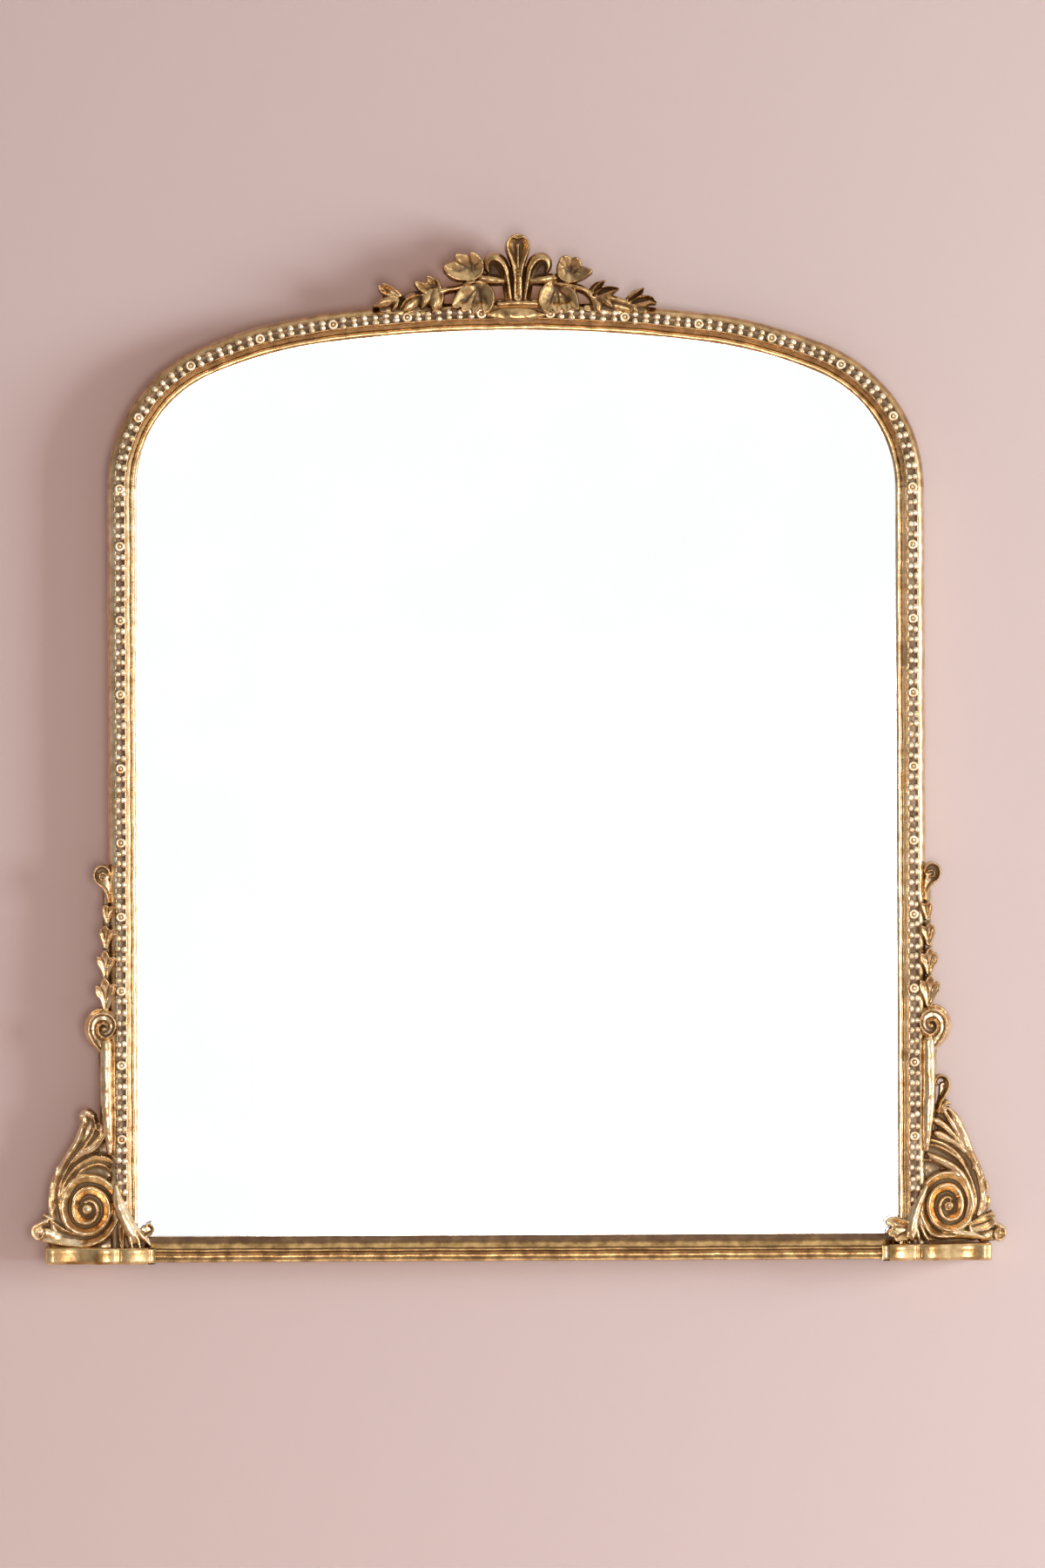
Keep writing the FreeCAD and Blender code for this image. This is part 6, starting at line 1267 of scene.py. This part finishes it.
@dataclass
class SideOrnament:
    """Everything that stands beside a stile: ground board, scroll, leaf, strip, volute, husks and hook."""

    finishes: Finishes
    side: Side
    board: float = 18.0
    overlay: float = 21.0

    def build(self) -> None:
        """Makes the pieces of one side."""
        word = self.side.name.lower()
        gilt, ground, timber = (self.finishes[f] for f in (Finish.GILT, Finish.GROUND, Finish.TIMBER))
        seed = 100 + self.side.value * 10
        right = self.side is Side.RIGHT
        table, leaf = (CORNER_SCROLL_RIGHT, CORNER_LEAF_RIGHT) if right else (CORNER_SCROLL, CORNER_LEAF)
        Carving(table + (SCROLL_CROOK if right else ()), seed=seed).piece(
            f"{word}_corner_scroll_gilt", self.board, self.board - 4.0, (gilt, timber), (f"{word}_corner_scroll",),
            self.side)
        # The wing board behind the carvings takes extra depth, so it is washed dark as painted shade between the carved
        # parts.
        Carving(table + WING_STRIP, step=1.0).piece(
            f"{word}_wing_board_washed", 0.0, 0.0, (ground, timber), (f"{word}_wing_board",), self.side,
            level=self.board + 0.5, inset=1.6, dull=0.25)
        Carving(leaf, seed=seed + 1).piece(f"{word}_corner_leaf_gilt", 27.0, 20.0, (gilt, timber),
                                           (f"{word}_corner_leaf",), self.side)
        Carving(PILASTER_STRIP, seed=seed + 2).piece(f"{word}_pilaster_strip_gilt", self.overlay, 16.0, (gilt, timber),
                                                     (f"{word}_pilaster_strip",), self.side)
        Carving(SMALL_VOLUTE, step=0.4, seed=seed + 3).piece(f"{word}_small_volute_gilt", self.overlay, 16.0,
                                                             (gilt, timber), (f"{word}_small_volute",), self.side)
        Carving(HUSK_DROP, step=0.4, seed=seed + 4).piece(f"{word}_husk_drop_gilt", self.overlay, 16.0, (gilt, timber),
                                                          (f"{word}_husk_drop",), self.side)
        Carving(HOOK_SCROLL, step=0.4, seed=seed + 5).piece(f"{word}_hook_scroll_gilt", self.overlay, 14.0,
                                                            (gilt, timber), (f"{word}_hook_scroll",), self.side)


@dataclass
class Crest:
    """Plume, paired leaves, sprays and the lens tablet over the crown."""

    finishes: Finishes
    seat: float = 23.5
    back: float = 14.0

    def build(self) -> None:
        """Makes the crest pieces."""
        gilt, timber = self.finishes[Finish.GILT_ARCH], self.finishes[Finish.TIMBER]
        tables = (("crest_plume", CREST_PLUME), ("crest_leaf_left", CREST_LEAF_LEFT),
                  ("crest_leaf_right", CREST_LEAF_RIGHT), ("crest_spray_left", CREST_SPRAY_LEFT),
                  ("crest_spray_right", CREST_SPRAY_RIGHT))
        # Every crest piece adds to its depth, deepening its wash and painted shade; the tablet takes less.
        for i, (name, table) in enumerate(tables):
            Carving(table, step=0.45, seed=200 + i).piece(name + "_gilt", self.seat, self.back, (gilt, timber), (name,),
                                                              dull=0.12, wide=110)
        Carving(CREST_TABLET, seed=210).piece("crest_tablet_gilt", 26.5, 25.0, (gilt, timber), ("crest_tablet",),
                                              dull=-0.25)


@dataclass
class Fittings:
    """Glass, board and hardware, which keep their CAD shapes."""

    finishes: Finishes
    nodes: dict

    def dress(self) -> None:
        """Gives every CAD node that is still shown its finish."""
        wanted = {"mirror_glass": Finish.SILVER, "backing_board": Finish.HARDBOARD, "joint_dowels": Finish.BEECH,
                  "wall_bumpers": Finish.RUBBER}
        for name, thing in self.nodes.items():
            if thing.hide_render:
                continue
            thing.data.materials.clear()
            thing.data.materials.append(self.finishes[wanted.get(name, Finish.ZINC)])
            LOG.info("%s dressed", name)


@dataclass
class Studio:
    """Pale wall and floor, soft light from the right, a low fill in front, a lamp for the back, and the camera."""

    moulding: FrameMoulding
    wall: str = "#D9C8C3"
    floor: str = "#E4DAD4"
    ambient: float = 0.35
    key_watts: float = 262.0
    fill_watts: float = 28.0
    back_watts: float = 42.0
    middle: tuple = (0.0, 0.0, -0.2)
    key_place: tuple = (4.5, -1.75, -0.2)
    fill_place: tuple = (0.2, -3.6, -0.5)
    back_place: tuple = (0.0, 2.2, 0.2)

    def plane(self, name: str, outlines: list, code: str) -> bpy.types.Object:
        """Makes one stage plane that shows only from its front, and lets the lamp behind it through.

        Args:
            name: object name.
            outlines: the corners of each flat face in metres.
            code: sRGB hex colour.

        Returns:
            The new object.
        """
        material, tree, coords, shader = new_material(name + "_paint")
        grain = add_node(tree, "ShaderNodeTexNoise", {"Vector": coords, "Scale": 400.0, "Detail": 2.0})
        bump = add_node(tree, "ShaderNodeBump", {"Height": grain.outputs[0], "Strength": 0.12, "Distance": 0.4 * MM})
        tree.links.new(bump.outputs[0], shader.inputs["Normal"])
        shader.inputs["Base Color"].default_value = linear(code)
        shader.inputs["Roughness"].default_value = 0.85
        shader.inputs["Specular IOR Level"].default_value = 0.2
        clear = add_node(tree, "ShaderNodeBsdfTransparent")
        behind = add_node(tree, "ShaderNodeNewGeometry").outputs["Backfacing"]
        shadow = add_node(tree, "ShaderNodeLightPath").outputs["Is Shadow Ray"]
        through = add_node(tree, "ShaderNodeMath", {0: behind, 1: shadow}, operation="MAXIMUM")
        mixed = add_node(tree, "ShaderNodeMixShader",
                         {0: through.outputs[0], 1: shader.outputs[0], 2: clear.outputs[0]})
        output = next(n for n in tree.nodes if n.type == "OUTPUT_MATERIAL")
        tree.links.new(mixed.outputs[0], output.inputs["Surface"])
        mesh = bpy.data.meshes.new(name)
        starts = np.cumsum([0] + [len(outline) for outline in outlines])
        mesh.from_pydata(sum(outlines, []), [], [tuple(range(a, b)) for a, b in zip(starts, starts[1:])])
        mesh.materials.append(material)
        thing = bpy.data.objects.new(name, mesh)
        bpy.context.collection.objects.link(thing)
        return thing

    def wall_halves(self, inset: float = 12.0, sill: float = 22.0) -> list:
        """Outlines of the wall's two halves, which leave the wall open behind the frame so that its back has light.

        Args:
            inset: how far outside the sight edge the opening runs, in mm.
            sill: height of the opening's lower edge above the base, in mm.

        Returns:
            The left and the right outline, in metres.
        """
        places, _ = self.moulding.head(inset, 12.0)
        edge = [(x * MM, 0.0, (z - BASE) * MM) for x, z in places if x < -1]
        low, high = (sill - BASE) * MM, max(z for _, z in places) * MM - BASE * MM
        left = [(-2.5, 0.0, -1.1), (0.0, 0.0, -1.1), (0.0, 0.0, low), (edge[0][0], 0.0, low), *edge, (0.0, 0.0, high),
                (0.0, 0.0, 1.6), (-2.5, 0.0, 1.6)]
        return [left, [(-x, y, z) for x, y, z in reversed(left)]]

    def room(self) -> None:
        """Sets the world: even soft light, and a bright front with dimmer sides for what metal and glass reflect."""
        world = bpy.data.worlds.new("studio")
        bpy.context.scene.world = world
        world.use_nodes = True
        tree = world.node_tree
        tree.nodes.clear()
        way = add_node(tree, "ShaderNodeTexCoord").outputs["Generated"]
        parts = add_node(tree, "ShaderNodeSeparateXYZ", {0: way}).outputs
        front = add_node(tree, "ShaderNodeMapRange", {"Value": parts[1], "From Min": -0.985, "From Max": -0.93,
                                                      "To Min": 1.0, "To Max": 0.0}, interpolation_type="SMOOTHSTEP")
        right = add_node(tree, "ShaderNodeMapRange", {"Value": parts[0], "From Min": -0.7, "From Max": 0.75,
                                                      "To Min": 0.36, "To Max": 1.0}, interpolation_type="SMOOTHSTEP")
        above = add_node(tree, "ShaderNodeMapRange", {"Value": parts[2], "From Min": 0.38, "From Max": 1.0,
                                                      "To Min": 0.0, "To Max": 0.3}, interpolation_type="SMOOTHSTEP")
        sum_one = add_node(tree, "ShaderNodeMath", {0: front.outputs[0], 1: right.outputs[0]}, operation="ADD")
        sum_two = add_node(tree, "ShaderNodeMath", {0: sum_one.outputs[0], 1: above.outputs[0]}, operation="ADD",
                           use_clamp=True)
        path = add_node(tree, "ShaderNodeLightPath").outputs
        seen = add_node(tree, "ShaderNodeMath", {0: path["Is Camera Ray"], 1: path["Is Glossy Ray"]},
                        operation="MAXIMUM")
        seen = add_node(tree, "ShaderNodeMath", {0: seen.outputs[0], 1: path["Is Transmission Ray"]},
                        operation="MAXIMUM")
        lit = add_node(tree, "ShaderNodeBackground", {"Color": linear("#FFDAD4"), "Strength": self.ambient})
        shown = add_node(tree, "ShaderNodeBackground", {"Color": linear("#FFFFFF"), "Strength": sum_two.outputs[0]})
        mixed = add_node(tree, "ShaderNodeMixShader", {0: seen.outputs[0], 1: lit.outputs[0], 2: shown.outputs[0]})
        add_node(tree, "ShaderNodeOutputWorld", {0: mixed.outputs[0]})

    def lamp(self, name: str, place: tuple, aim: tuple, size: float, watts: float, seen: bool,
             code: str) -> None:
        """Adds one square soft lamp.

        Args:
            name: lamp name.
            place: where it stands.
            aim: what it points at.
            size: width and height.
            watts: power.
            seen: whether polished metal shows it.
            code: sRGB hex colour of its light.
        """
        lamp = bpy.data.lights.new(name, "AREA")
        lamp.shape = "SQUARE"
        lamp.size = size
        lamp.energy = watts
        lamp.color = linear(code)[:3]
        thing = bpy.data.objects.new(name, lamp)
        thing.location = place
        thing.rotation_euler = (Vector(aim) - Vector(place)).to_track_quat("-Z", "Y").to_euler()
        thing.visible_camera = False
        thing.visible_glossy = seen
        bpy.context.collection.objects.link(thing)

    def build(self) -> None:
        """Makes the stage, the lamps and the camera."""
        self.plane("wall", self.wall_halves(), self.wall)
        self.plane("floor", [[(-2.5, 0, -1.1), (-2.5, -2.6, -1.1), (2.5, -2.6, -1.1), (2.5, 0, -1.1)]], self.floor)
        self.room()
        for name, share, seen in (("key", 0.25, False), ("sparkle", 0.75, True)):
            self.lamp(name, self.key_place, self.middle, 1.7, share * self.key_watts, seen, "#EAF9FF")
        self.lamp("fill", self.fill_place, self.middle, 1.0, self.fill_watts, True, "#FFF0EA")
        self.lamp("back", self.back_place, self.middle, 1.6, self.back_watts, False, "#FFFFFF")
        camera = bpy.data.cameras.new("camera")
        camera.sensor_fit = "VERTICAL"
        camera.sensor_height = 36.0
        camera.lens = 36.0 * 5.97 / 1.389
        thing = bpy.data.objects.new("camera", camera)
        thing.location = (-0.12, -6.0, -0.2141)
        thing.rotation_euler = (math.pi / 2, math.radians(0.2), -math.atan2(0.1246, 5.97))
        bpy.context.collection.objects.link(thing)
        bpy.context.scene.camera = thing
        bpy.context.scene.view_settings.view_transform = "Standard"


def main() -> None:
    """Builds the mirror's looks in order."""
    logging.basicConfig(level=logging.INFO, format="%(message)s")
    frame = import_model()
    finishes = Finishes()
    moulding = FrameMoulding(finishes)
    moulding.build()
    BottomRail(finishes).build()
    PearlStrings(finishes, moulding).build()
    for side in Side:
        FootBlock(finishes, side).build()
        SideOrnament(finishes, side).build()
    Crest(finishes).build()
    Fittings(finishes, frame["nodes"]).dress()
    Studio(moulding).build()


if __name__ == "__main__":
    main()
